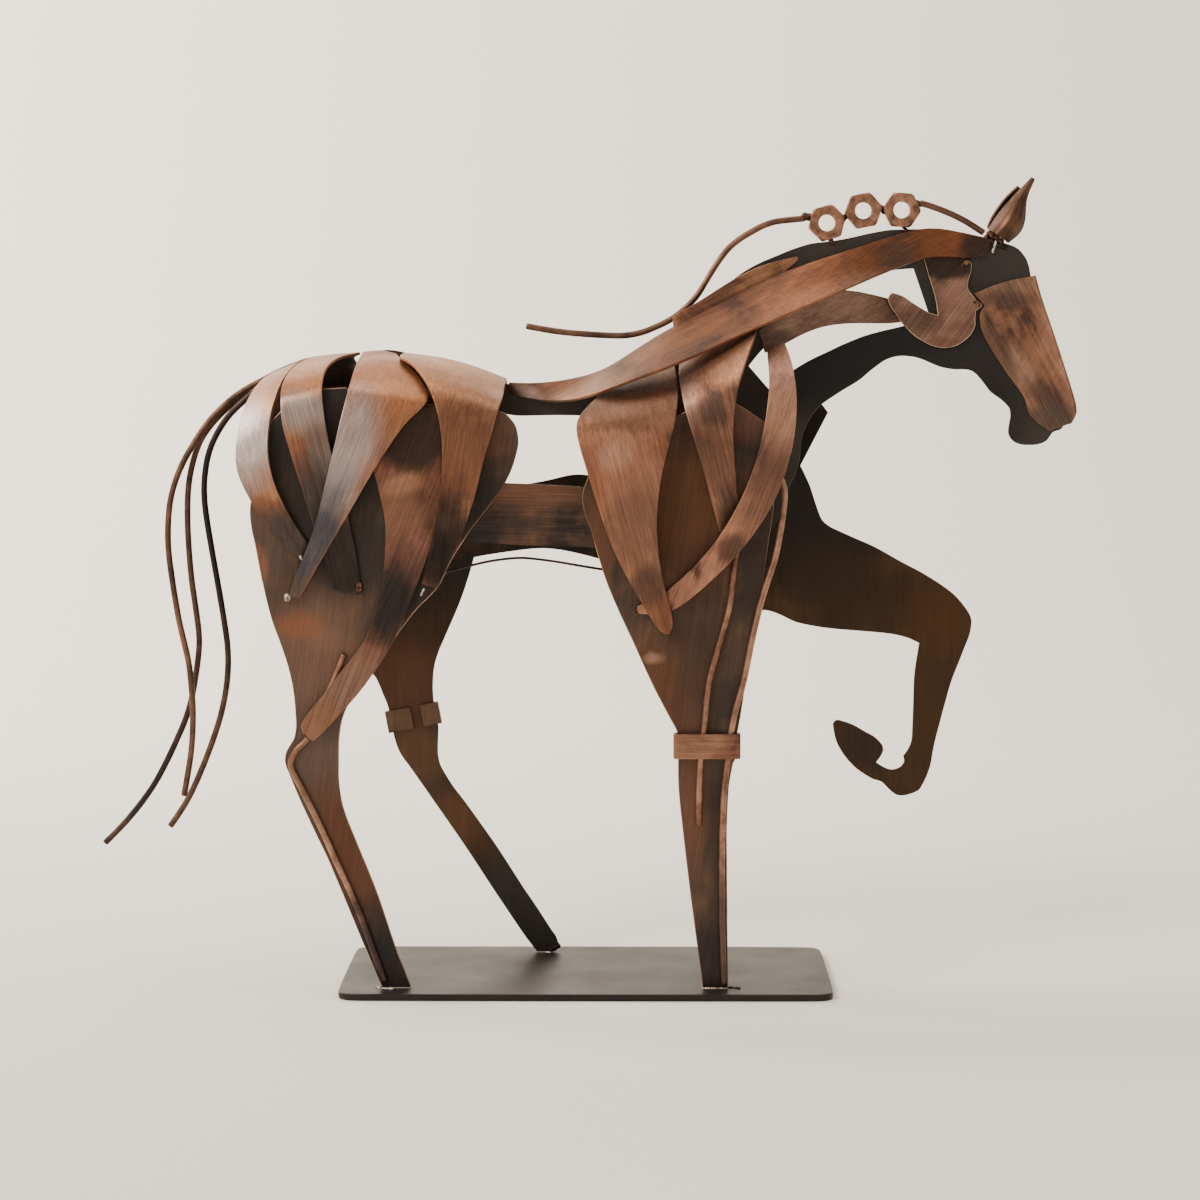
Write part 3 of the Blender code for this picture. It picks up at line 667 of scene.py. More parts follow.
def split_by_creases(mesh: bmesh.types.BMesh, crease: float) -> list[bmesh.types.BMEdge]:
    """Mark the broad faces of a piece with material 0 and its narrow rims with material 1.

    Args:
        mesh: the piece, with its normals up to date.
        crease: faces that meet over this many degrees belong to different sides.

    Returns:
        The crease edges.
    """
    creases = [edge for edge in mesh.edges
               if len(edge.link_faces) == 2 and edge.calc_face_angle(0) > math.radians(crease)]
    fence = set(creases)
    regions: list[list[bmesh.types.BMFace]] = []
    seen: set[bmesh.types.BMFace] = set()
    for start in mesh.faces:
        if start in seen:
            continue
        seen.add(start)
        region, queue = [], [start]
        while queue:
            current = queue.pop()
            region.append(current)
            for border in current.edges:
                if border in fence:
                    continue
                for other in border.link_faces:
                    if other not in seen:
                        seen.add(other)
                        queue.append(other)
        regions.append(region)
    areas = [sum(face.calc_area() for face in region) for region in regions]
    for region, area in zip(regions, areas):
        for face in region:
            face.material_index = 0 if area > 0.4 * max(areas) else 1
            face.smooth = True
    return creases


@dataclass(frozen=True)
class SheetFinish:
    """The finishes of one piece of sheet.

    Attributes:
        face: of its broad faces.
        rim: of the filed rims round them.
        side: of the sheared sides between the rims.
    """

    face: Finish
    rim: Finish
    side: Finish

    def dress(self, data: bpy.types.Mesh) -> None:
        """Give a mesh the three materials, face first, then side and rim."""
        data.materials.clear()
        for finish in (self.face, self.side, self.rim):
            data.materials.append(material_of(finish))


def refined_sheet(name: str, finish: SheetFinish, rim: float, levels: int) -> bpy.types.Object:
    """A bent sheet with filed rims, made from the node's own surface.

    Args:
        name: the node.
        finish: of its faces, rims and sides.
        rim: rounding of its edges.
        levels: subdivision.

    Returns:
        The piece.
    """
    mesh = node_copy(name)
    bmesh.ops.join_triangles(mesh, faces=mesh.faces, angle_face_threshold=math.radians(25),
                             angle_shape_threshold=math.radians(60), cmp_sharp=False)
    mesh.normal_update()
    creases = split_by_creases(mesh, 48)
    bmesh.ops.bevel(mesh, geom=creases, offset=rim, segments=2, profile=0.6, affect="EDGES",
                    clamp_overlap=True, material=2)
    data = kept_mesh(name, mesh)
    obj = new_object(f"{name}_sheet", data)
    finish.dress(data)
    rounding = obj.modifiers.new("rounding", "SUBSURF")
    rounding.levels = rounding.render_levels = levels
    rounding.boundary_smooth = "PRESERVE_CORNERS"
    piece = baked(obj)
    smooth_shaded(piece, 55)
    return piece


def outline_loops(name: str) -> tuple[list[list[Vector]], float, float]:
    """The outlines of a flat plate that stands along the horse.

    Args:
        name: the node.

    Returns:
        Its loops as points of X and Z, and its lowest and highest Y.
    """
    mesh = node_copy(name)
    mesh.normal_update()
    near = {face for face in mesh.faces if face.normal.y < -0.9}
    rim = [edge for edge in mesh.edges if sum(face in near for face in edge.link_faces) == 1]
    follow: dict[bmesh.types.BMVert, list[bmesh.types.BMVert]] = {}
    for edge in rim:
        for here, there in (edge.verts, reversed(edge.verts)):
            follow.setdefault(here, []).append(there)
    loops: list[list[Vector]] = []
    # A dict keeps the order of the rim's edges, so each run starts at the same point.
    left = dict.fromkeys(follow)
    while left:
        start = next(iter(left))
        del left[start]
        loop, before, current = [start], start, follow[start][0]
        while current is not start:
            loop.append(current)
            left.pop(current, None)
            step = [vert for vert in follow[current] if vert is not before]
            before, current = current, step[0] if step else start
        loops.append([Vector((vert.co.x, vert.co.z, 0)) for vert in loop])
    depths = [vert.co.y for vert in mesh.verts]
    mesh.free()
    return loops, min(depths), max(depths)


def softened(loop: Sequence[Vector], steps: int = 3, corner: float = 34.0) -> list[Vector]:
    """Round a traced outline between its corners.

    Args:
        loop: the outline's points.
        steps: new points to each old one.
        corner: turns over this many degrees stay sharp.

    Returns:
        The finer outline.
    """
    count = len(loop)

    def turn(index: int) -> float:
        """The outline's turn at a point, in degrees."""
        before = loop[index] - loop[index - 1]
        after = loop[(index + 1) % count] - loop[index]
        return math.degrees(before.angle(after, 0))

    corners = {index for index in range(count) if turn(index) > corner}
    finer: list[Vector] = []
    for index in range(count):
        b, c = loop[index], loop[(index + 1) % count]
        a = 2 * b - c if index in corners else loop[index - 1]
        d = 2 * c - b if (index + 1) % count in corners else loop[(index + 2) % count]
        for step in range(steps):
            t = step / steps
            finer.append(0.5 * (2 * b + (c - a) * t + (2 * a - 5 * b + 4 * c - d) * t ** 2
                                + (3 * b - a - 3 * c + d) * t ** 3))
    return finer


def refined_plate(name: str, finish: SheetFinish, rim: float) -> bpy.types.Object:
    """A flat plate with a smooth outline and softened rims, made from the node's own outline.

    Args:
        name: the node.
        finish: of its faces, rims and sides.
        rim: rounding of its edges.

    Returns:
        The piece.
    """
    loops, low, high = outline_loops(name)
    curve = bpy.data.curves.new(name, "CURVE")
    curve.dimensions = "2D"
    curve.fill_mode = "BOTH"
    curve.extrude = (high - low) / 2 - rim
    curve.bevel_depth = rim
    curve.bevel_resolution = 1
    curve.offset = -rim
    for loop in loops:
        points = softened(loop)
        spline = curve.splines.new("POLY")
        spline.points.add(len(points) - 1)
        spline.use_cyclic_u = True
        for knot, point in zip(spline.points, points):
            knot.co = (point.x, point.y, 0, 1)
    obj = new_object(f"{name}_plate", curve)
    obj.matrix_world = Matrix.Translation((0, (low + high) / 2,
                                           0)) @ Matrix.Rotation(math.radians(90), 4, "X")
    piece = baked(obj)
    data = piece.data
    finish.dress(data)
    for polygon in data.polygons:
        out = abs(polygon.normal.y)
        polygon.material_index = 0 if out > 0.97 else 2 if out > 0.2 else 1
    smooth_shaded(piece, 40)
    return piece


def in_order(points: set[bmesh.types.BMVert]) -> list[bmesh.types.BMVert]:
    """Points sorted by place, so that each run meets them in the same order."""
    return sorted(points, key=lambda vert: tuple(vert.co))


def rings_from(start: set[bmesh.types.BMVert]) -> list[list[bmesh.types.BMVert]]:
    """Neighbour after neighbour from a set of points.

    Args:
        start: the first ring.

    Returns:
        The rings, nearest first.
    """
    layers, seen = [in_order(start)], set(start)
    while True:
        layer = {edge.other_vert(vert) for vert in layers[-1] for edge in vert.link_edges} - seen
        if not layer:
            return layers
        seen |= layer
        layers.append(in_order(layer))


def centre_line(name: str, diameter: float) -> list[Vector]:
    """The route of a rod's node, from ring to ring.

    Args:
        name: the node.
        diameter: the rod's diameter, which tells its end faces from its sides.

    Returns:
        The middle of each ring, from end to end.
    """
    mesh = node_copy(name)
    mesh.normal_update()
    mesh.verts.ensure_lookup_table()
    tip = rings_from({mesh.verts[0]})[-1][0]
    best: set[bmesh.types.BMVert] = set()
    rings = rings_from({tip})
    for start in (face for vert in rings[0] + rings[1] for face in vert.link_faces):
        region, queue = {start}, [start]
        while queue:
            current = queue.pop()
            for border in current.edges:
                for other in border.link_faces:
                    if other not in region and other.normal.angle(start.normal, 9) < 0.03:
                        region.add(other)
                        queue.append(other)
        corners = {vert for face in region for vert in face.verts}
        spread = max((a.co - b.co).length for a in corners for b in corners)
        if 4 < len(corners) < 20 and len(corners) > len(best) and spread < 1.08 * diameter:
            best = corners
    route = [sum((vert.co for vert in ring), Vector()) / len(ring) for ring in rings_from(best)]
    mesh.free()
    return route


def named_inputs(tree: bpy.types.NodeTree, sockets: Sequence[tuple[str, str]]) -> dict[str, str]:
    """Give a geometry tree its output and its named inputs.

    Args:
        tree: the tree.
        sockets: the inputs' names and socket types.

    Returns:
        The inputs' identifiers by name.
    """
    tree.interface.new_socket(name="Geometry", in_out="OUTPUT", socket_type="NodeSocketGeometry")
    return {label: tree.interface.new_socket(name=label, in_out="INPUT",
                                             socket_type=kind).identifier
            for label, kind in sockets}


def dressed_output(tree: bpy.types.NodeTree, shape: bpy.types.NodeSocket,
                   finish: bpy.types.NodeSocket) -> None:
    """End a tree in Realize Instances and Set Material."""
    real = add_node(tree, "GeometryNodeRealizeInstances", Geometry=shape)
    dressed = add_node(tree, "GeometryNodeSetMaterial", Geometry=real.outputs[0], Material=finish)
    add_node(tree, "NodeGroupOutput", i0=dressed.outputs[0])


@dataclass
class Maker:
    """A geometry tree with named inputs.

    Attributes:
        tree: the node tree.
        names: identifiers of its inputs.
    """

    tree: bpy.types.NodeTree | None = None
    names: dict[str, str] = field(default_factory=dict)

    def applied(self, name: str, data: bpy.types.Mesh,
                settings: dict[str, object]) -> bpy.types.Object:
        """Give a new object the tree, with its inputs set.

        Args:
            name: the object's name.
            data: what the tree starts from.
            settings: the inputs by name.

        Returns:
            The object, with its modifier.
        """
        obj = new_object(name, data)
        modifier = obj.modifiers.new("shape", "NODES")
        modifier.node_group = self.tree
        for label, value in settings.items():
            modifier[self.names[label]] = value
        return obj


@dataclass
class BarMaker(Maker):
    """Geometry nodes that turn a route into a round bar with a slightly uneven thickness.

    Attributes:
        step: distance between rings.
        uneven: how much the radius varies, as a share.
    """

    step: float = 1.2 * MM
    uneven: float = 0.10

    def prepare(self) -> None:
        """Build the tree."""
        tree = bpy.data.node_groups.new("round_bar", "GeometryNodeTree")
        self.names = named_inputs(tree, [
            ("Route", "NodeSocketGeometry"), ("Radius", "NodeSocketFloat"),
            ("Step", "NodeSocketFloat"),
            ("Uneven", "NodeSocketFloat"), ("Finish", "NodeSocketMaterial")])
        entry = add_node(tree, "NodeGroupInput")
        line = add_node(tree, "GeometryNodeMeshToCurve", Mesh=entry.outputs["Route"])
        bent = add_node(tree, "GeometryNodeCurveSplineType", {"spline_type": "CATMULL_ROM"},
                        Curve=line.outputs[0])
        even = add_node(tree, "GeometryNodeResampleCurve", {"mode": "LENGTH"},
                        Curve=bent.outputs[0],
                        Length=entry.outputs["Step"])
        along = add_node(tree, "GeometryNodeSplineParameter")
        # The thickness changes over about 14 mm, as hand-forged bar does.
        noise = add_node(tree, "ShaderNodeTexNoise", {"noise_dimensions": "1D"},
                         W=along.outputs["Length"],
                         Scale=1 / (14 * MM), Detail=1.0)
        centred = add_node(tree, "ShaderNodeMath", {"operation": "SUBTRACT"}, i0=noise.outputs[0],
                           i1=0.6)
        share = add_node(tree, "ShaderNodeMath", {"operation": "MULTIPLY_ADD"},
                         i0=centred.outputs[0],
                         i1=entry.outputs["Uneven"], i2=1.0)
        varied = add_node(tree, "ShaderNodeMath", {"operation": "MINIMUM"}, i0=share.outputs[0],
                          i1=1.0)
        sized = add_node(tree, "GeometryNodeSetCurveRadius", Curve=even.outputs[0],
                         Radius=varied.outputs[0])
        ring = add_node(tree, "GeometryNodeCurvePrimitiveCircle", Resolution=16,
                        Radius=entry.outputs["Radius"])
        bar = add_node(tree, "GeometryNodeCurveToMesh", Curve=sized.outputs[0],
                       Profile_Curve=ring.outputs[0],
                       Fill_Caps=True)
        if "Scale" in bar.inputs:
            tree.links.new(varied.outputs[0], bar.inputs["Scale"])
        dressed_output(tree, bar.outputs[0], entry.outputs["Finish"])
        self.tree = tree

    def make(self, node: str, diameter: float, finish: Finish) -> bpy.types.Object:
        """A bent round rod along its node's centre line.

        Args:
            node: the node.
            diameter: the rod's diameter.
            finish: its finish.

        Returns:
            The piece.
        """
        route = centre_line(node, diameter)
        piece = baked(self.applied(f"{node}_bar", route_mesh(node, route), {
            "Radius": diameter / 2, "Step": self.step, "Uneven": self.uneven,
            "Finish": material_of(finish)}))
        self._round_ends(piece, diameter)
        smooth_shaded(piece, 60)
        return piece

    @staticmethod
    def _round_ends(piece: bpy.types.Object, diameter: float) -> None:
        """Break the sharp rims of the sawn ends."""
        mesh = bmesh.new()
        mesh.from_mesh(piece.data)
        bmesh.ops.remove_doubles(mesh, verts=mesh.verts, dist=FINE_MERGE)
        ends = [edge for face in mesh.faces if len(face.verts) > 4 for edge in face.edges]
        bmesh.ops.bevel(mesh, geom=ends, offset=0.22 * diameter, segments=3, profile=0.5,
                        affect="EDGES",
                        clamp_overlap=True)
        bmesh.ops.recalc_face_normals(mesh, faces=mesh.faces)
        mesh.to_mesh(piece.data)
        mesh.free()


@dataclass(frozen=True)
class WeldSpot:
    """A short run of weld metal.

    Attributes:
        name: its name.
        node: the node that it sits on.
        route: its ends on the side view, in drawing units.
        bead: width of a bead.
        finish: its metal.
        sink: how far its middle lies behind the surface.
        seed: of its lumps.
        depth: the upright plane that it lies on, as its Y; none for the node's own surface.
    """

    name: str
    node: str
    route: tuple[tuple[float, float], ...]
    bead: float
    finish: WeldMetal
    sink: float = 0.3 * MM
    seed: int = 1
    depth: float | None = None


@dataclass
class WeldMaker(Maker):
    """Geometry nodes that lay overlapping lumps of weld metal along a route.

    Attributes:
        pitch_share: distance between lumps, as a share of the bead's width.
        lumpy: height of the lumps' own unevenness, as a share of the bead's width.
    """

    pitch_share: float = 0.42
    lumpy: float = 0.30

    def prepare(self) -> None:
        """Build the tree."""
        tree = bpy.data.node_groups.new("weld_run", "GeometryNodeTree")
        self.names = named_inputs(tree, [
            ("Route", "NodeSocketGeometry"), ("Bead", "NodeSocketFloat"),
            ("Pitch", "NodeSocketFloat"),
            ("Lumpy", "NodeSocketFloat"), ("Seed", "NodeSocketInt"),
            ("Finish", "NodeSocketMaterial")])
        entry = add_node(tree, "NodeGroupInput")
        line = add_node(tree, "GeometryNodeMeshToCurve", Mesh=entry.outputs["Route"])
        spots = add_node(tree, "GeometryNodeResampleCurve", {"mode": "LENGTH"},
                         Curve=line.outputs[0],
                         Length=entry.outputs["Pitch"])
        lump = add_node(tree, "GeometryNodeMeshIcoSphere", Radius=entry.outputs["Bead"],
                        Subdivisions=4)
        size = add_node(tree, "FunctionNodeRandomValue", {"data_type": "FLOAT"}, i2=0.40, i3=0.56,
                        Seed=entry.outputs["Seed"])
        turned = add_node(tree, "FunctionNodeRandomValue", {"data_type": "FLOAT_VECTOR"},
                          i0=(0.0, 0.0, 0.0),
                          i1=(6.2, 6.2, 6.2), Seed=entry.outputs["Seed"])
        set_out = add_node(tree, "GeometryNodeInstanceOnPoints", Points=spots.outputs[0],
                           Instance=lump.outputs[0],
                           Rotation=turned.outputs[0], Scale=size.outputs[1])
        solid = add_node(tree, "GeometryNodeRealizeInstances", Geometry=set_out.outputs[0])
        waves = add_node(tree, "ShaderNodeTexNoise", {"noise_dimensions": "3D"},
                         Scale=1 / (1.1 * MM), Detail=2.0)
        centred = add_node(tree, "ShaderNodeMath", {"operation": "SUBTRACT"}, i0=waves.outputs[0],
                           i1=0.5)
        height = add_node(tree, "ShaderNodeMath", {"operation": "MULTIPLY"}, i0=centred.outputs[0],
                          i1=entry.outputs["Lumpy"])
        outward = add_node(tree, "GeometryNodeInputNormal")
        push = add_node(tree, "ShaderNodeVectorMath", {"operation": "SCALE"}, i0=outward.outputs[0],
                        Scale=height.outputs[0])
        uneven = add_node(tree, "GeometryNodeSetPosition", Geometry=solid.outputs[0],
                          Offset=push.outputs[0])
        dressed_output(tree, uneven.outputs[0], entry.outputs["Finish"])
        self.tree = tree

    def make(self, spot: WeldSpot) -> bpy.types.Object:
        """Lay one run.

        Args:
            spot: the run.

        Returns:
            The piece.
        """
        points = []
        for x, y in spot.route:
            if spot.depth is None:
                points.append(on_node(spot.node, x, y) + view_ray(x, y).normalized() * spot.sink)
            else:
                points.append(view_point(x, y, spot.depth))
        if len(points) == 1:
            points.append(points[0] + Vector((0.0, 0.0, -0.2 * spot.bead)))
        piece = baked(self.applied(spot.name, route_mesh(spot.name, points), {
            "Bead": spot.bead, "Pitch": spot.bead * self.pitch_share,
            "Lumpy": spot.bead * self.lumpy, "Seed": spot.seed,
            "Finish": material_of(spot.finish)}))
        smooth_shaded(piece, 70)
        return piece


@dataclass
class ThreadMaker(Maker):
    """Geometry nodes that wind a thread's ridge inside a bore."""

    def prepare(self) -> None:
        """Build the tree."""
        tree = bpy.data.node_groups.new("thread_ridge", "GeometryNodeTree")
        self.names = named_inputs(tree, [
            ("Start", "NodeSocketGeometry"), ("Bore Radius", "NodeSocketFloat"),
            ("Turns", "NodeSocketFloat"),
            ("Height", "NodeSocketFloat"), ("Ridge", "NodeSocketFloat"),
            ("Finish", "NodeSocketMaterial")])
        entry = add_node(tree, "NodeGroupInput")
        coil = add_node(tree, "GeometryNodeCurveSpiral", Resolution=40,
                        Rotations=entry.outputs["Turns"],
                        Start_Radius=entry.outputs["Bore Radius"],
                        End_Radius=entry.outputs["Bore Radius"],
                        Height=entry.outputs["Height"])
        ridge = add_node(tree, "GeometryNodeCurvePrimitiveCircle", Resolution=6,
                         Radius=entry.outputs["Ridge"])
        wound = add_node(tree, "GeometryNodeCurveToMesh", Curve=coil.outputs[0],
                         Profile_Curve=ridge.outputs[0],
                         Fill_Caps=True)
        dressed_output(tree, wound.outputs[0], entry.outputs["Finish"])
        self.tree = tree

    def make(self, name: str, bore: float, pitch: float, height: float,
             finish: Finish) -> bpy.types.Object:
        """Wind one thread about Z, from its middle.

        Args:
            name: its name.
            bore: diameter of the bore.
            pitch: distance between turns.
            height: of the threaded part.
            finish: its finish.

        Returns:
            The object, with its modifier.
        """
        return self.applied(name, bpy.data.meshes.new(name), {
            "Bore Radius": bore / 2, "Turns": height / pitch, "Height": height,
            "Ridge": 0.2 * pitch, "Finish": material_of(finish)})


def settle(piece: bpy.types.Object, slot: Slot, node: str | None = None) -> None:
    """Fasten a piece to the figure and let it stand for its node.

    Args:
        piece: the finished piece.
        slot: the record's material slot; not used.
        node: the node that it stands for, if any.
    """
    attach(piece, BODY)
    if node is not None:
        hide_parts(node)
    LOG.info("%s: %d faces", piece.name, len(piece.data.polygons))


RUBBED_EDGE = WornEdge("rubbed_sheared_edge", bright="#EBD3BD", dull="#94705A", bare=0.7)
COPPER_EDGE = WornEdge("copper_sheared_edge", bright="#C49E82", dull="#74503C", bare=0.6)
SHEARED_SIDE = WornEdge("sheared_side", bright="#6E4E3D", dull="#48352B", bare=0.3, gloss=0.46)
# The far pieces' edges are darkened as painted shade.
FAR_EDGE_IN_PAINTED_SHADE = WornEdge("far_sheared_edge_in_painted_shade", bright="#6A4F40", dull="#352C27", bare=0.3, gloss=0.45)
BLACK_EDGE = WornEdge("blackened_sheared_edge", bright="#5A4E45", dull="#302C29", bare=0.3,
                      gloss=0.42)

COPPER_SHEET = BrushedPatina("torched_strap")
BROWN_PLATE = BrushedPatina("torched_leg_plate", light="#624A3C", middle="#4C3D34", dark="#353130",
                            dark_share=0.45, cloud_mm=30.0, gloss=0.44, line_shade=0.28)
# The far twins of the copper pieces take this darker sheet: their patina darkened with painted
# shade.
FAR_SHEET_IN_PAINTED_SHADE = BrushedPatina("far_strap_in_painted_shade", light="#523A2C", middle="#3B2D26", dark="#2B2624",
                           dark_share=0.5, gloss=0.46, line_shade=0.28, marks_depth=PLATE_SIDE)
DARK_PLATE = BrushedPatina("blackened_leg_plate", light="#4A3524", middle="#3B2C22", dark="#2F2A26",
                           dark_share=0.5, cloud_mm=40.0, gloss=0.42, line_shade=0.22,
                           marks_depth=PLATE_SIDE)
HEAD_PLATE = BrushedPatina("blackened_head_plate_with_painted_shade", light="#403934", middle="#37312D",
                           dark="#302B28",
                           grain=Grain.SWEPT, dark_share=0.4, cloud_mm=40.0, gloss=0.38,
                           line_shade=0.05,
                           line_depth=0.05, metallic=0.6, hatch=0.0, marks_depth=0.0, marks=(
                               # The first mark, near-black over the lower neck, is painted shade.
                               HeatTintAndPaintedLight(856, 352, 120, 46, "#191716", 0.95, turn=-18, soft=0.6),
                               HeatTintAndPaintedLight(988, 405, 50, 56, "#1D1A19", 0.9, soft=0.8),
                               HeatTintAndPaintedLight(720, 300, 70, 20, "#28241F", 0.7, turn=-24, soft=0.9)))
BAR_STEEL = ScaledRod("torched_bar")
WELD_BROWN = WeldMetal("browned_weld")
WELD_DARK = WeldMetal("sooty_weld", bare="#5A463B", soot="#2A2320", bare_share=0.3)
WELD_BRIGHT = WeldMetal("bright_weld", bare="#C9BDB0", soot="#6E5A4C", bare_share=0.8)


@dataclass
class Assembly:
    """What the sub-assemblies share.

    Attributes:
        rim: rounding of a sheet's filed edges.
        levels: subdivision of the bent sheets.
    """

    rim: float = 0.26 * MM
    levels: int = 2

    def sheet(self, node: str, face: Finish, edge: Finish, slot: Slot) -> None:
        """Make and settle a bent sheet."""
        settle(refined_sheet(node, self.finishes(face, edge), self.rim, self.levels), slot, node)

    def plate(self, node: str, face: Finish, edge: Finish, slot: Slot) -> None:
        """Make and settle a flat plate."""
        settle(refined_plate(node, self.finishes(face, edge), self.rim), slot, node)

    @staticmethod
    def finishes(face: Finish, edge: Finish) -> SheetFinish:
        """The piece's finishes; copper rims have duller sheared sides between them."""
        return SheetFinish(face, edge, SHEARED_SIDE if edge in (RUBBED_EDGE, COPPER_EDGE) else edge)


@dataclass
class Haunches(Assembly):
    """The four bent straps over the rump on either side, and the strap down the near thigh."""

    def build(self) -> None:
        """Make the straps from the tail forwards."""
        for number, face in enumerate(self._near_faces(), start=1):
            self.sheet(f"near_haunch_strap_{number}", face, RUBBED_EDGE, Slot.COPPER)
            self.sheet(f"far_haunch_strap_{number}", FAR_SHEET_IN_PAINTED_SHADE, FAR_EDGE_IN_PAINTED_SHADE, Slot.DARK)
        self.sheet("thigh_strap", self._thigh_face(), COPPER_EDGE, Slot.BROWN)

    @staticmethod
    def _near_faces() -> list[BrushedPatina]:
        """The near straps' finishes: tan at the top and dark at the tips, heat tint with painted
        shading, and a painted silvery sheen where they bulge.
        """
        return [
            # On every strap the copper mark at the top and the dark marks at the tip are heat tint
            # and also painted shading: lighter where the strap turns up to the light, darker
            # towards its end.
            replace(COPPER_SHEET, name="torched_haunch_strap_1_with_painted_light", grain=Grain.BACKWARD, marks=(
                HeatTintAndPaintedLight(276, 388, 28, 26, "#A06A45", 0.85),
                # The two pale mauve marks in the middle are a painted sheen where the strap bulges
                # towards the key light.
                HeatTintAndPaintedLight(248, 442, 26, 36, "#B5A69F", 0.85, turn=-8),
                HeatTintAndPaintedLight(250, 482, 20, 16, "#8E7669", 0.7),
                HeatTintAndPaintedLight(262, 505, 16, 10, "#80503A", 0.75, turn=-30, strokes=0.5),
                HeatTintAndPaintedLight(290, 540, 22, 36, "#3B3532", 0.95, turn=-38),
                HeatTintAndPaintedLight(282, 376, 8, 40, "#7A4E36", 0.5, turn=30, strokes=0.6))),
            replace(COPPER_SHEET, name="torched_haunch_strap_2_with_painted_light", grain=Grain.BACKWARD, marks=(
                HeatTintAndPaintedLight(312, 376, 36, 18, "#A86F49", 0.85),
                # The pale grey mark below the top is a painted sheen where the strap bulges towards
                # the key light.
                HeatTintAndPaintedLight(302, 412, 28, 18, "#A09088", 0.8),
                HeatTintAndPaintedLight(324, 452, 13, 28, "#6C5F58", 0.8, turn=-18),
                HeatTintAndPaintedLight(299, 463, 10, 20, "#8A5640", 0.7, turn=-18, strokes=0.5),
                HeatTintAndPaintedLight(319, 512, 28, 46, "#403834", 0.97, turn=-20),
                HeatTintAndPaintedLight(345, 560, 38, 58, "#2A2523", 0.98))),
            replace(COPPER_SHEET, name="torched_haunch_strap_3_with_painted_light", grain=Grain.LEANING, marks=(
                HeatTintAndPaintedLight(395, 386, 62, 38, "#A36A45", 0.85),
                # The two pale grey marks down the middle are painted highlights where the strap
                # bulges towards the key light.
                HeatTintAndPaintedLight(350, 438, 26, 44, "#B29D95", 0.85, turn=20),
                HeatTintAndPaintedLight(332, 492, 24, 26, "#8C7E7C", 0.85, turn=26),
                HeatTintAndPaintedLight(313, 540, 24, 46, "#414146", 0.96, turn=28),
                HeatTintAndPaintedLight(293, 594, 14, 16, "#4C423B", 0.85, turn=30),
                HeatTintAndPaintedLight(329, 556, 4, 50, "#7A4C34", 0.8, turn=32))),
            replace(COPPER_SHEET, name="torched_haunch_strap_4_with_painted_light", grain=Grain.SLIGHT, marks=(
                HeatTintAndPaintedLight(450, 376, 58, 24, "#B0774F", 0.85, turn=12),
                HeatTintAndPaintedLight(470, 440, 34, 46, "#734C38", 0.8),
                HeatTintAndPaintedLight(446, 526, 28, 38, "#221D1B", 0.92, turn=12),
                HeatTintAndPaintedLight(436, 566, 24, 30, "#1C1817", 0.95, turn=14))),
        ]

    @staticmethod
    def _thigh_face() -> BrushedPatina:
        """The thigh strap's finish: a pale brushed spot at the top and a dark middle."""
        return replace(COPPER_SHEET, name="torched_thigh_strap", light="#85594A", middle="#6A4737",
                       grain=Grain.LEANING, marks=(
                           HeatTintAndPaintedLight(408, 430, 46, 38, "#3A2C25", 0.97, soft=0.25, strokes=0.3),
                           HeatTintAndPaintedLight(400, 485, 18, 9, "#AC7B60", 0.6, turn=-16, strokes=1.0),
                           HeatTintAndPaintedLight(398, 520, 24, 26, "#835B48", 0.7),
                           HeatTintAndPaintedLight(396, 598, 32, 46, "#2C2927", 0.95, turn=16, soft=0.85),
                           HeatTintAndPaintedLight(348, 680, 34, 26, "#765B4C", 0.8, turn=-40),
                           HeatTintAndPaintedLight(318, 722, 24, 22, "#7E5A46", 0.8)))


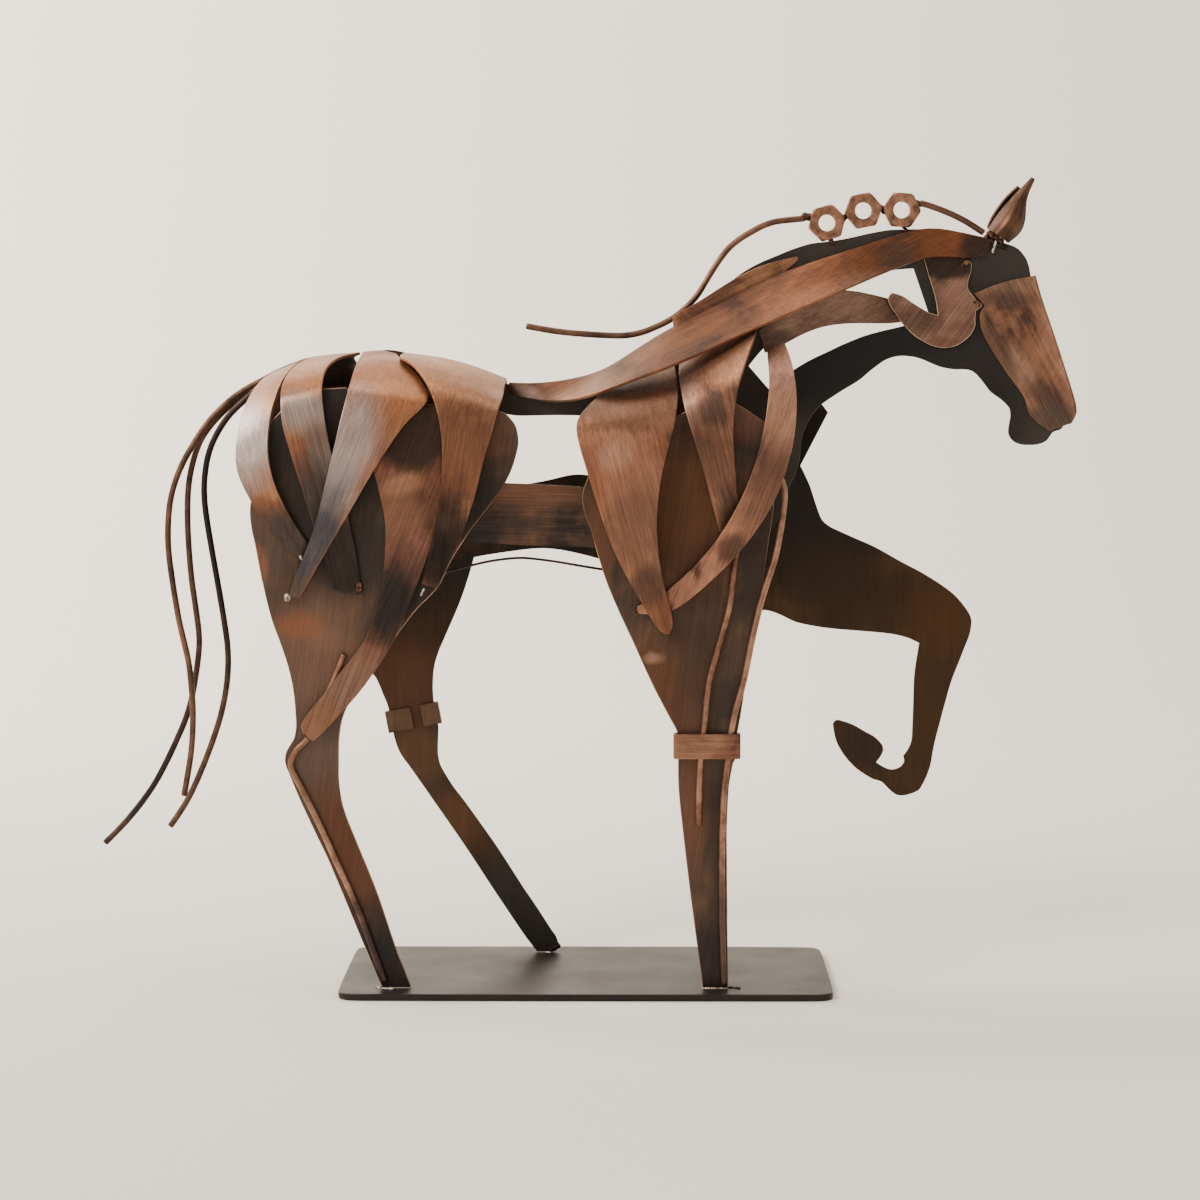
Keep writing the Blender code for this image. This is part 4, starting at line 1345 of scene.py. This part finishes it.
@dataclass
class Legs(Assembly):
    """The four leg plates, the foreleg's band, the far leg's clamp, the belly bands and the rods.

    Attributes:
        rod: diameter of the rods on the legs.
        wire: diameter of the belly wire.
    """

    rod: float = 2.5 * MM
    wire: float = 1.0 * MM

    def build(self, bars: BarMaker) -> None:
        """Make the legs.

        Args:
            bars: makes the rods.
        """
        self.plate("near_hind_leg", self._hind_face(), COPPER_EDGE, Slot.BROWN)
        self.plate("near_foreleg", self._fore_face(), COPPER_EDGE, Slot.BROWN)
        self.plate("far_hind_leg", self._far_hind_face(), FAR_EDGE_IN_PAINTED_SHADE, Slot.DARK)
        self.plate("far_foreleg", self._raised_face(), FAR_EDGE_IN_PAINTED_SHADE, Slot.DARK)
        band = replace(COPPER_SHEET, name="brushed_leg_band", light="#8C6650", middle="#765040",
                       dark="#54392E",
                       grain=Grain.LEVEL, dark_share=0.15)
        self.sheet("foreleg_band", band, RUBBED_EDGE, Slot.COPPER)
        clamp = replace(BROWN_PLATE, name="torched_leg_clamp", light="#6B5240", middle="#5B4638",
                        dark="#43352C")
        self.sheet("far_leg_clamp", clamp, COPPER_EDGE, Slot.BROWN)
        belly = replace(COPPER_SHEET, name="torched_belly_band", light="#67493A", middle="#4C3A31",
                        dark="#342C28",
                        grain=Grain.LEVEL, dark_share=0.4, marks=(
                            HeatTintAndPaintedLight(475, 530, 40, 22, "#2D2A2A", 0.9),
                            HeatTintAndPaintedLight(540, 492, 50, 14, "#6E4C3C", 0.6)))
        self.sheet("near_belly_band", belly, COPPER_EDGE, Slot.BROWN)
        self.sheet("far_belly_band", FAR_SHEET_IN_PAINTED_SHADE, FAR_EDGE_IN_PAINTED_SHADE, Slot.DARK)
        self._rods(bars)

    def _rods(self, bars: BarMaker) -> None:
        """Make the rods on the near legs and the wire under the belly."""
        bright = replace(BAR_STEEL, name="rubbed_leg_bar", light="#A67C64", dark="#6A4938",
                         gloss=0.34,
                         marks_depth=-PLATE_SIDE)
        hind = replace(bright, name="rubbed_hind_bar", marks=(
            HeatTintAndPaintedLight(374, 960, 30, 70, "#33282A", 0.9),
            HeatTintAndPaintedLight(300, 760, 20, 26, "#7A5442", 0.7)))
        settle(bars.make("hind_leg_rod", self.rod, hind), Slot.COPPER, "hind_leg_rod")
        settle(bars.make("foreleg_rod_1", self.rod, bright), Slot.COPPER, "foreleg_rod_1")
        fore = replace(bright, name="rubbed_foreleg_bar",
                       marks=(HeatTintAndPaintedLight(723, 950, 20, 90, "#4A3830", 0.85),))
        settle(bars.make("foreleg_rod_2", self.rod, fore), Slot.COPPER, "foreleg_rod_2")
        dark = replace(BAR_STEEL, name="blackened_wire", light="#43362F", dark="#241F1D")
        settle(bars.make("belly_wire", self.wire, dark), Slot.DARK, "belly_wire")

    @staticmethod
    def _hind_face() -> BrushedPatina:
        """The near hind plate's finish: dark between the straps and at the foot, else red-brown."""
        return replace(BROWN_PLATE, name="torched_hind_plate", grain=Grain.SLIGHT, marks=(
            HeatTintAndPaintedLight(340, 470, 80, 80, "#2F2B29", 0.93),
            HeatTintAndPaintedLight(262, 545, 22, 50, "#5A4A42", 0.7),
            HeatTintAndPaintedLight(312, 655, 46, 62, "#6A5144", 0.85, turn=12),
            HeatTintAndPaintedLight(260, 562, 7, 18, "#8A5640", 0.6, turn=-14),
            HeatTintAndPaintedLight(300, 626, 24, 12, "#855238", 0.6, strokes=0.7),
            HeatTintAndPaintedLight(326, 640, 14, 12, "#7E5C48", 0.4, strokes=0.9),
            HeatTintAndPaintedLight(360, 560, 40, 40, "#332E2B", 0.85),
            HeatTintAndPaintedLight(488, 440, 22, 26, "#5E4436", 0.8),
            HeatTintAndPaintedLight(478, 500, 30, 40, "#2C2928", 0.85),
            HeatTintAndPaintedLight(404, 650, 26, 44, "#5A4236", 0.7, turn=20),
            HeatTintAndPaintedLight(430, 590, 30, 26, "#2A2625", 0.85),
            HeatTintAndPaintedLight(318, 770, 30, 50, "#5F4E44", 0.8),
            HeatTintAndPaintedLight(352, 850, 28, 66, "#583A2B", 0.9, turn=-22),
            HeatTintAndPaintedLight(398, 965, 34, 52, "#292524", 0.95, turn=-20, soft=0.6)))

    @staticmethod
    def _fore_face() -> BrushedPatina:
        """The near fore plate's finish: red-brown high up, a brushed patch, dark at the foot."""
        return replace(BROWN_PLATE, name="torched_fore_plate", grain=Grain.SLIGHT, marks=(
            HeatTintAndPaintedLight(752, 418, 26, 22, "#64453A", 0.8),
            HeatTintAndPaintedLight(690, 520, 44, 80, "#553724", 0.85),
            HeatTintAndPaintedLight(600, 545, 12, 60, "#6E4A36", 0.7),
            HeatTintAndPaintedLight(756, 560, 22, 90, "#332B28", 0.8),
            HeatTintAndPaintedLight(655, 690, 44, 50, "#5E3E2C", 0.8),
            HeatTintAndPaintedLight(653, 658, 9, 5, "#A88470", 0.5, strokes=1.0),
            HeatTintAndPaintedLight(700, 640, 30, 80, "#45352D", 0.75),
            HeatTintAndPaintedLight(692, 800, 14, 74, "#644637", 0.85),
            HeatTintAndPaintedLight(718, 850, 12, 90, "#392E2A", 0.8),
            HeatTintAndPaintedLight(714, 965, 30, 62, "#2D2928", 0.92)))

    @staticmethod
    def _far_hind_face() -> BrushedPatina:
        """The far hind plate's finish: red-brown over the hock and near-black below."""
        return replace(DARK_PLATE, name="blackened_hind_plate", marks=(
            HeatTintAndPaintedLight(404, 680, 40, 40, "#52382A", 0.85),
            HeatTintAndPaintedLight(415, 755, 34, 30, "#5C4432", 0.8),
            HeatTintAndPaintedLight(452, 822, 34, 34, "#5C402F", 0.75, turn=-35),
            HeatTintAndPaintedLight(520, 910, 60, 60, "#373431", 0.9)))

    @staticmethod
    def _raised_face() -> BrushedPatina:
        """The raised far foreleg's finish: dark over the shoulder and brown from the knee down."""
        return replace(DARK_PLATE, name="blackened_fore_plate", marks=(
            HeatTintAndPaintedLight(815, 520, 60, 70, "#2A2622", 0.85),
            HeatTintAndPaintedLight(860, 590, 80, 34, "#3A2A1D", 0.8, turn=16),
            HeatTintAndPaintedLight(938, 620, 34, 44, "#4A3320", 0.85),
            HeatTintAndPaintedLight(926, 710, 26, 70, "#41301F", 0.85),
            HeatTintAndPaintedLight(912, 785, 26, 16, "#453222", 0.7),
            HeatTintAndPaintedLight(856, 742, 28, 18, "#352A22", 0.8, turn=30),
            HeatTintAndPaintedLight(814, 430, 22, 38, "#1E1A18", 0.92)))


@dataclass
class Shoulders(Assembly):
    """The tongues and leaves that hang from the withers, and the hoop round the near shoulder."""

    def build(self) -> None:
        """Make the near pieces, then their far twins."""
        tongue = replace(COPPER_SHEET, name="torched_shoulder_tongue_with_painted_shade", grain=Grain.BACKWARD, marks=(
            HeatTintAndPaintedLight(616, 470, 32, 34, "#AB7258", 0.8),
            HeatTintAndPaintedLight(612, 456, 20, 12, "#BB8C72", 0.6, turn=-20, strokes=1.0),
            HeatTintAndPaintedLight(590, 500, 12, 60, "#8A5238", 0.6),
            HeatTintAndPaintedLight(640, 530, 34, 50, "#745445", 0.75),
            HeatTintAndPaintedLight(650, 588, 18, 22, "#43332C", 0.7),
            HeatTintAndPaintedLight(662, 620, 16, 16, "#6E4734", 0.7),
            # The broad brown band over the top is painted shade where the tongue turns over the
            # shoulder.
            HeatTintAndPaintedLight(634, 398, 60, 34, "#6E4A36", 0.95, soft=0.22, strokes=0.25)))
        leaf = replace(COPPER_SHEET, name="torched_shoulder_leaf", grain=Grain.BACKWARD, marks=(
            HeatTintAndPaintedLight(728, 352, 34, 24, "#AA7A5C", 0.8),
            HeatTintAndPaintedLight(686, 390, 12, 36, "#9A7A6A", 0.5),
            HeatTintAndPaintedLight(712, 412, 20, 18, "#4A3A33", 0.85, turn=-20, strokes=0.7),
            HeatTintAndPaintedLight(716, 462, 28, 34, "#62473A", 0.8),
            HeatTintAndPaintedLight(728, 510, 14, 22, "#2E2727", 0.85)))
        hoop = replace(COPPER_SHEET, name="torched_shoulder_hoop", grain=Grain.LEANING,
                       light="#A8765C",
                       middle="#8F6450", marks=(
                           HeatTintAndPaintedLight(780, 356, 22, 22, "#7A5646", 0.7),
                           HeatTintAndPaintedLight(781, 378, 20, 6, "#5A453B", 0.6),
                           HeatTintAndPaintedLight(784, 414, 22, 34, "#B5866C", 0.7),
                           HeatTintAndPaintedLight(772, 490, 26, 44, "#62463A", 0.8),
                           HeatTintAndPaintedLight(730, 547, 18, 14, "#44312A", 0.85, strokes=0.4),
                           HeatTintAndPaintedLight(672, 590, 22, 18, "#7A5444", 0.6)))
        self.sheet("near_shoulder_tongue", tongue, RUBBED_EDGE, Slot.COPPER)
        self.sheet("near_shoulder_leaf", leaf, RUBBED_EDGE, Slot.COPPER)
        self.sheet("shoulder_hoop", hoop, RUBBED_EDGE, Slot.COPPER)
        self.sheet("far_shoulder_tongue", FAR_SHEET_IN_PAINTED_SHADE, FAR_EDGE_IN_PAINTED_SHADE, Slot.DARK)
        self.sheet("far_shoulder_leaf", FAR_SHEET_IN_PAINTED_SHADE, FAR_EDGE_IN_PAINTED_SHADE, Slot.DARK)


@dataclass
class NeckAndHead(Assembly):
    """The plate of neck and head with the mane straps, throat strap, cheek, nose cover and ears."""

    def build(self) -> None:
        """Make the plate, then what is welded to it."""
        self.plate("neck_and_head", HEAD_PLATE, BLACK_EDGE, Slot.BLACK)
        near = -12 * MM
        mane = replace(COPPER_SHEET, name="brushed_mane_strap", grain=Grain.RISING, light="#78492F",
                       middle="#653F2B", dark="#4A3125", hatch=0.3, dark_share=0.2,
                       marks_depth=near, marks=(
                           HeatTintAndPaintedLight(520, 396, 50, 14, "#42352F", 0.9),
                           HeatTintAndPaintedLight(590, 388, 44, 16, "#83583F", 0.7),
                           HeatTintAndPaintedLight(800, 308, 60, 14, "#8E5A3E", 0.5, turn=-30, strokes=0.6),
                           HeatTintAndPaintedLight(866, 285, 30, 12, "#6E5240", 0.6, turn=-24, strokes=0.8),
                           HeatTintAndPaintedLight(898, 251, 16, 20, "#4A3B33", 0.6, turn=35, strokes=1.0),
                           HeatTintAndPaintedLight(945, 240, 20, 16, "#7C4A2F", 0.85),
                           HeatTintAndPaintedLight(982, 247, 18, 18, "#332925", 0.9)))
        throat = replace(COPPER_SHEET, name="brushed_throat_strap", grain=Grain.RISING,
                         light="#6E5243",
                         middle="#5F4538", dark="#44342C", hatch=0.2, marks_depth=near,
                         marks=(HeatTintAndPaintedLight(766, 342, 20, 14, "#4E3C34", 0.7),))
        leaf = replace(COPPER_SHEET, name="brushed_mane_leaf", grain=Grain.RISING, light="#A87A5C",
                       middle="#906447", dark="#6A4838", hatch=0.5, marks_depth=near)
        cheek = replace(COPPER_SHEET, name="torched_cheek_with_painted_shadow", grain=Grain.SWEPT, light="#8C6A57",
                        middle="#765548",
                        dark="#4C3A31", hatch=0.3, marks_depth=0.0, marks=(
                            HeatTintAndPaintedLight(916, 322, 22, 14, "#4F3C34", 0.7),
                            HeatTintAndPaintedLight(944, 345, 24, 8, "#6A4A3C", 0.5),
                            HeatTintAndPaintedLight(958, 292, 18, 14, "#9C7462", 0.5, strokes=0.8),
                            # The dark band along the top is the painted shadow of the mane strap
                            # over the cheek.
                            HeatTintAndPaintedLight(946, 258, 44, 20, "#352B27", 0.96, soft=0.2, strokes=0.1)))
        nose = replace(COPPER_SHEET, name="torched_nose_cover", grain=Grain.FALLING,
                       light="#9C6E55",
                       middle="#865D48", dark="#4C382E", hatch=0.35, marks_depth=0.0, marks=(
                           HeatTintAndPaintedLight(1010, 286, 34, 8, "#7E6451", 0.6),
                           HeatTintAndPaintedLight(1004, 300, 34, 8, "#56413A", 0.7, strokes=0.5),
                           HeatTintAndPaintedLight(1020, 372, 14, 26, "#A87F68", 0.5, turn=-30, strokes=1.0),
                           HeatTintAndPaintedLight(1044, 396, 20, 12, "#44352F", 0.75, turn=40, strokes=0.6),
                           HeatTintAndPaintedLight(1046, 418, 28, 16, "#50453E", 0.85),
                           HeatTintAndPaintedLight(998, 350, 8, 44, "#513F37", 0.6, turn=-22)))
        ear = replace(COPPER_SHEET, name="polished_ear", grain=Grain.LEANING, light="#664634",
                      middle="#503728",
                      dark="#38271D", gloss=0.42, dark_share=0.3, line_shade=0.5, marks_depth=0.0,
                      marks=(
                          HeatTintAndPaintedLight(1003, 236, 16, 8, "#33241B", 0.7, turn=30),
                          HeatTintAndPaintedLight(996, 214, 6, 22, "#33241B", 0.5, turn=30)))
        self.sheet("near_mane_strap", mane, RUBBED_EDGE, Slot.COPPER)
        self.sheet("far_mane_strap", FAR_SHEET_IN_PAINTED_SHADE, FAR_EDGE_IN_PAINTED_SHADE, Slot.DARK)
        self.sheet("mane_leaf", leaf, COPPER_EDGE, Slot.COPPER)
        self.sheet("neck_strap", throat, RUBBED_EDGE, Slot.COPPER)
        self.plate("cheek", cheek, RUBBED_EDGE, Slot.COPPER)
        self.sheet("nose_cover", nose, RUBBED_EDGE, Slot.COPPER)
        self.sheet("near_ear", ear, RUBBED_EDGE, Slot.COPPER)
        self.sheet("far_ear",
                   replace(ear, name="torched_far_ear", light="#5E4232", middle="#4C3628"),
                   COPPER_EDGE, Slot.COPPER)


@dataclass
class Crest:
    """The three nuts on the crest with the bars that run from them to the withers and the ear.

    Attributes:
        bore: of a nut before its thread is cut.
        pitch: of the thread.
        rod: diameter of the bars.
        chamfer: rounding of a nut's outer edges, worn by heat and brush.
        corner_radius: of the barrel that a nut's corners are worn to.
        face_radius: of that barrel at the nut's two faces.
        metal: finish of the nuts.
    """

    bore: float = 6.9 * MM
    pitch: float = 1.25 * MM
    rod: float = 2.5 * MM
    chamfer: float = 0.45 * MM
    corner_radius: float = 7.3 * MM
    face_radius: float = 6.5 * MM
    metal: ScaledRod = ScaledRod("torched_nut", light="#AC7A60", dark="#624638", stretch_mm=4.0,
                                 gloss=0.36)

    def build(self, bars: BarMaker, threads: ThreadMaker) -> None:
        """Make the nuts and the bars.

        Args:
            bars: makes the bars.
            threads: makes the threads.
        """
        for number in (1, 2, 3):
            self._nut(f"nut_{number}", threads)
        bar = replace(BAR_STEEL, name="torched_mane_bar", light="#765342", dark="#4A362D")
        for node in ("mane_rod_rear", "mane_rod_front"):
            settle(bars.make(node, self.rod, bar), Slot.BROWN, node)

    def _nut(self, node: str, threads: ThreadMaker) -> None:
        """A nut with worn chamfers and a thread in its bore.

        Args:
            node: the node.
            threads: makes the thread.
        """
        mesh = node_copy(node)
        bmesh.ops.join_triangles(mesh, faces=mesh.faces, angle_face_threshold=math.radians(3),
                                 angle_shape_threshold=math.radians(180), cmp_sharp=False)
        bmesh.ops.dissolve_limit(mesh, angle_limit=math.radians(2), verts=mesh.verts,
                                 edges=mesh.edges)
        data = kept_mesh(node, mesh)
        low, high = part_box(node)
        middle = Vector([(a + b) / 2 for a, b in zip(low, high)])
        blank = new_object(f"{node}_body", data)
        barrel = self._barrel(node, middle, high[1] - low[1])
        worn = blank.modifiers.new("worn", "BOOLEAN")
        worn.operation = "INTERSECT"
        worn.solver = "EXACT"
        worn.object = barrel
        body = baked(blank)
        bpy.data.objects.remove(barrel, do_unlink=True)
        self._break_edges(body.data, middle)
        body.data.materials.clear()
        body.data.materials.append(material_of(self.metal))
        smooth_shaded(body, 34)
        settle(body, Slot.COPPER, node)
        depth = high[1] - low[1]
        thread = threads.make(f"{node}_thread", self.bore, self.pitch, depth - 2 * self.pitch,
                              self.metal)
        thread.matrix_world = (Matrix.Translation(middle)
                               @ Matrix.Rotation(math.radians(90), 4, "X")
                               @ Matrix.Translation((0, 0, -(depth / 2 - self.pitch))))
        ridge = baked(thread)
        smooth_shaded(ridge, 70)
        settle(ridge, Slot.COPPER)

    def _barrel(self, node: str, middle: Vector, depth: float) -> bpy.types.Object:
        """The barrel that a nut's corners are worn to.

        Args:
            node: the nut's node.
            middle: of the nut.
            depth: the nut's height.

        Returns:
            The barrel.
        """
        mesh = bmesh.new()
        sides = 72
        half = depth / 2 + 0.02 * MM
        lip, shoulder = half - 0.4 * MM, half - 1.2 * MM
        lip_radius = self.face_radius + 0.45 * MM
        profile = ((-half, self.face_radius), (-lip, lip_radius), (-shoulder, self.corner_radius),
                   (shoulder, self.corner_radius), (lip, lip_radius), (half, self.face_radius))
        rings = [[mesh.verts.new(middle
                                 + Vector((radius * math.cos(turn), y, radius * math.sin(turn))))
                  for turn in (math.radians(360 / sides * step) for step in range(sides))]
                 for y, radius in profile]
        for first, second in zip(rings, rings[1:]):
            for i in range(sides):
                mesh.faces.new((first[i], first[i - 1], second[i - 1], second[i]))
        mesh.faces.new(rings[0])
        mesh.faces.new(rings[-1])
        bmesh.ops.recalc_face_normals(mesh, faces=mesh.faces)
        return new_object(f"{node}_barrel", kept_mesh(f"{node}_barrel", mesh))

    def _break_edges(self, data: bpy.types.Mesh, middle: Vector) -> None:
        """Round the nut's outer edges and the mouths of its bore.

        Args:
            data: the nut's mesh.
            middle: of the nut.
        """
        mesh = bmesh.new()
        mesh.from_mesh(data)
        bmesh.ops.remove_doubles(mesh, verts=mesh.verts, dist=FINE_MERGE)
        bmesh.ops.dissolve_limit(mesh, angle_limit=math.radians(1), verts=mesh.verts,
                                 edges=mesh.edges)
        for width, inside, least in ((self.chamfer, False, 24), (0.5 * MM, True, 60)):
            chosen = []
            for edge in mesh.edges:
                away = max(((vert.co - middle).xz).length for vert in edge.verts)
                if len(edge.link_faces) == 2 and edge.calc_face_angle(0) > math.radians(least) \
                        and (away < self.bore / 2 + 0.4 * MM) == inside:
                    chosen.append(edge)
            bmesh.ops.bevel(mesh, geom=chosen, offset=width, segments=3, profile=0.5,
                            affect="EDGES",
                            clamp_overlap=True)
        bmesh.ops.triangulate(mesh, faces=[face for face in mesh.faces if len(face.verts) > 4])
        mesh.to_mesh(data)
        mesh.free()


@dataclass
class Tail:
    """The three long bars of the tail.

    Attributes:
        rod: diameter of the bars.
    """

    rod: float = 2.5 * MM

    def build(self, bars: BarMaker) -> None:
        """Make the bars, outermost first.

        Args:
            bars: makes the bars.
        """
        finishes = {
            "tail_rod_1": replace(BAR_STEEL, name="torched_tail_bar_1", light="#7A5544",
                                  dark="#45342B"),
            "tail_rod_2": replace(BAR_STEEL, name="torched_tail_bar_2", light="#705040",
                                  dark="#3E2F28", marks=(
                HeatTintAndPaintedLight(150, 790, 60, 70, "#2C2524", 0.95, soft=0.7),)),
            "tail_rod_3": replace(BAR_STEEL, name="torched_tail_bar_3", light="#6A4A3B",
                                  dark="#3E2F28", marks=(
                HeatTintAndPaintedLight(214, 520, 40, 170, "#2A2422", 0.95),)),
        }
        for node, finish in finishes.items():
            settle(bars.make(node, self.rod, finish), Slot.BROWN, node)


@dataclass
class Base(Assembly):
    """The flat base plate, with its corners and top rim rounded."""

    rim: float = 0.3 * MM
    levels: int = 1

    def build(self) -> None:
        """Make the plate."""
        lacquer = SatinBlack("satin_black_base")
        self.sheet("base", lacquer, lacquer, Slot.BLACK)


@dataclass
class Welds:
    """The weld metal that shows where pieces meet.

    Attributes:
        small: width of a bead at a foot or a strap's end.
    """

    small: float = 1.5 * MM

    def build(self, welder: WeldMaker) -> None:
        """Lay every run.

        Args:
            welder: lays the weld metal.
        """
        for spot in self._crest_runs() + self._head_runs() + self._leg_runs():
            settle(welder.make(spot), Slot.COPPER)

    def _crest_runs(self) -> list[WeldSpot]:
        """Between the nuts, at the bars' ends, and the drips under the nuts."""
        return [
            WeldSpot("weld_rear_bar_nut", "nut_1", ((805, 216.6), (812, 217.5)), 3.0 * MM,
                     WELD_BROWN, seed=3,
                     depth=0.0),
            WeldSpot("weld_nut_1_nut_2", "nut_2", ((843, 218), (848, 215)), 3.0 * MM, WELD_BROWN,
                     seed=4, depth=0.0),
            WeldSpot("weld_nut_2_nut_3", "nut_3", ((880, 208), (885, 210)), 3.0 * MM, WELD_DARK,
                     seed=5, depth=0.0),
            WeldSpot("weld_nut_3_front_bar", "nut_3", ((917.5, 203), (921, 204)), 2.4 * MM,
                     WELD_BROWN, seed=6,
                     depth=0.0),
            WeldSpot("weld_drip_nut_1", "nut_1", ((829, 238), (833, 243.5)), 2.1 * MM, WELD_BROWN,
                     seed=7,
                     depth=-1.0 * MM),
            WeldSpot("weld_drip_nut_3", "nut_3", ((904, 226.5), (906, 230.5)), 2.1 * MM, WELD_BROWN,
                     seed=8,
                     depth=-1.0 * MM),
        ]

    def _head_runs(self) -> list[WeldSpot]:
        """At the ears' root and on the cheek."""
        return [
            WeldSpot("weld_ear_root", "neck_and_head",
                     ((987, 238), (993, 242), (999, 245), (1005, 247)), 2.8 * MM,
                     WELD_DARK, seed=9, depth=-0.4 * MM),
            WeldSpot("weld_front_bar_end", "neck_and_head", ((989, 233.5), (995, 238), (1001, 242)),
                     2.7 * MM,
                     WELD_BROWN, seed=23, depth=0.0),
            WeldSpot("weld_ear_bright", "neck_and_head", ((995.8, 242), (992.6, 251.6)), 1.1 * MM,
                     WELD_BRIGHT,
                     seed=10, depth=-1.9 * MM),
            WeldSpot("weld_cheek", "cheek", ((962, 266), (968, 261)), 1.9 * MM, WELD_BROWN,
                     0.2 * MM, 11),
            WeldSpot("weld_throat", "cheek", ((975, 302), (979, 305)), 1.4 * MM, WELD_BROWN,
                     0.2 * MM, 12),
        ]

    def _leg_runs(self) -> list[WeldSpot]:
        """At the straps' ends and the feet."""
        return [
            WeldSpot("weld_strap_1_tip", "near_haunch_strap_1", ((301, 557), (302, 559)), 1.4 * MM,
                     WELD_BRIGHT, -0.2 * MM, 13),
            WeldSpot("weld_strap_3_tip", "near_haunch_strap_3", ((288, 599.5),), 2.7 * MM,
                     WELD_BRIGHT, -0.3 * MM, 14),
            WeldSpot("weld_strap_2_tip", "near_haunch_strap_2", ((359, 585), (362, 588)), 3.0 * MM,
                     WELD_BROWN, 0.0, 15),
            WeldSpot("weld_strap_4_tip", "near_hind_leg", ((421, 595), (424, 589)), 1.0 * MM,
                     WELD_BRIGHT, 0.0, 24),
            WeldSpot("weld_thigh_tip", "thigh_strap", ((303, 736), (309, 740)), self.small,
                     WELD_BROWN, 0.1 * MM, 16),
            WeldSpot("weld_hind_foot", "base", ((377, 988), (392, 989)), self.small, WELD_BRIGHT,
                     0.1 * MM, 17),
            WeldSpot("weld_far_foot", "far_hind_leg", ((551, 950), (558, 946)), 2.4 * MM, WELD_DARK,
                     0.4 * MM, 18),
            WeldSpot("weld_far_foot_bright", "base", ((543, 952), (550, 952.5)), 1.1 * MM,
                     WELD_BRIGHT, 0.1 * MM, 19),
            WeldSpot("weld_fore_foot", "base", ((703, 988.5), (722, 988.5)), 1.1 * MM, WELD_BRIGHT,
                     0.1 * MM, 20),
            WeldSpot("weld_fore_foot_puddle", "base", ((730, 988), (739, 989)), 1.9 * MM, WELD_DARK,
                     0.6 * MM, 21),
            WeldSpot("weld_hoop_tail", "near_foreleg", ((637, 610), (643, 609)), 2.2 * MM,
                     WELD_BROWN, -0.3 * MM, 22),
        ]


@dataclass
class Studio:
    """Pale floor and backdrop, soft light and the photograph's camera.

    Attributes:
        floor: sRGB hex of the paper sweep.
        lens: focal length on a 36 mm sensor.
    """

    floor: str = "#F1EADD"
    lens: float = FOCUS / PICTURE * SENSOR

    def build(self) -> None:
        """Set the stage."""
        self._sweep()
        self._lights()
        self._camera()

    def _sweep(self) -> None:
        """A paper sweep that rises behind the figure."""
        mesh = bmesh.new()
        profile = [(-2.2, 0.0), (0.9, 0.0)]
        profile += [(0.9 + 0.6 * math.sin(math.radians(a)), 0.6 - 0.6 * math.cos(math.radians(a)))
                    for a in range(10, 91, 10)]
        profile += [(1.5, 2.6)]
        rows = [[mesh.verts.new((x, y, z - 0.0002)) for y, z in profile] for x in (-2.6, 2.6)]
        for i in range(len(profile) - 1):
            mesh.faces.new((rows[0][i], rows[1][i], rows[1][i + 1], rows[0][i + 1])).smooth = True
        data = kept_mesh("paper_sweep", mesh)
        sweep = new_object("paper_sweep", data)
        material = bpy.data.materials.new("matt_paper")
        material.use_nodes = True
        shader = material.node_tree.nodes["Principled BSDF"]
        shader.inputs["Base Color"].default_value = linear(self.floor)
        shader.inputs["Roughness"].default_value = 0.9
        data.materials.append(material)

    def _lights(self) -> None:
        """Large soft key from the upper left, a broad fill and a weak top."""
        for name, place, size, power, tint, target in (
                ("key", (-1.5, -1.5, 1.6), 1.2, 58.0, "#FFF8F0", (0.0, 0.0, 0.15)),
                ("fill", (1.9, -1.6, 0.9), 1.6, 9.0, "#FAF8F6", (0.0, 0.0, 0.15)),
                ("top", (0.1, 0.2, 2.2), 1.6, 20.0, "#FFFFFF", (0.0, 0.0, 0.15)),
                ("wash", (-1.2, 0.6, 1.2), 0.8, 42.0, "#FFFCF8", (-0.5, 1.5, 0.6))):
            lamp = bpy.data.lights.new(name, "AREA")
            lamp.shape = "SQUARE"
            lamp.size = size
            lamp.energy = power
            lamp.color = linear(tint)[:3]
            obj = new_object(name, lamp)
            obj.location = place
            obj.rotation_euler = (Vector(target) - Vector(place)).to_track_quat("-Z",
                                                                                "Y").to_euler()
        world = bpy.data.worlds.new("pale_room")
        world.use_nodes = True
        back = world.node_tree.nodes["Background"]
        back.inputs[0].default_value = linear("#EFEBE3")
        back.inputs[1].default_value = 0.58
        bpy.context.scene.world = world

    def _camera(self) -> None:
        """The photograph's camera."""
        camera = bpy.data.cameras.new("photograph")
        camera.lens = self.lens
        camera.sensor_width = SENSOR
        camera.clip_end = 20
        obj = new_object("photograph", camera)
        obj.location = EYE
        obj.rotation_euler = (math.radians(90 - VIEW_TILT), 0, math.radians(VIEW_TURN))
        bpy.context.scene.camera = obj


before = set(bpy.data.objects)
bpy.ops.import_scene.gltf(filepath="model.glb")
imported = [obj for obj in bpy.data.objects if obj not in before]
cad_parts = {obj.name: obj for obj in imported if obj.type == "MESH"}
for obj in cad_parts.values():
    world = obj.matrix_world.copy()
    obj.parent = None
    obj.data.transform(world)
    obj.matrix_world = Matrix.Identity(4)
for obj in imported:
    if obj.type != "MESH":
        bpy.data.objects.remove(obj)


def main() -> None:
    """Build the figure and set the stage."""
    logging.basicConfig(level=logging.INFO, format="%(name)s: %(message)s")
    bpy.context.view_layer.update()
    bars, welder, threads = BarMaker(), WeldMaker(), ThreadMaker()
    for maker in (bars, welder, threads):
        maker.prepare()
    Base().build()
    Legs().build(bars)
    Haunches().build()
    Shoulders().build()
    NeckAndHead().build()
    Crest().build(bars, threads)
    Tail().build(bars)
    Welds().build(welder)
    Studio().build()


if __name__ == "__main__":
    main()
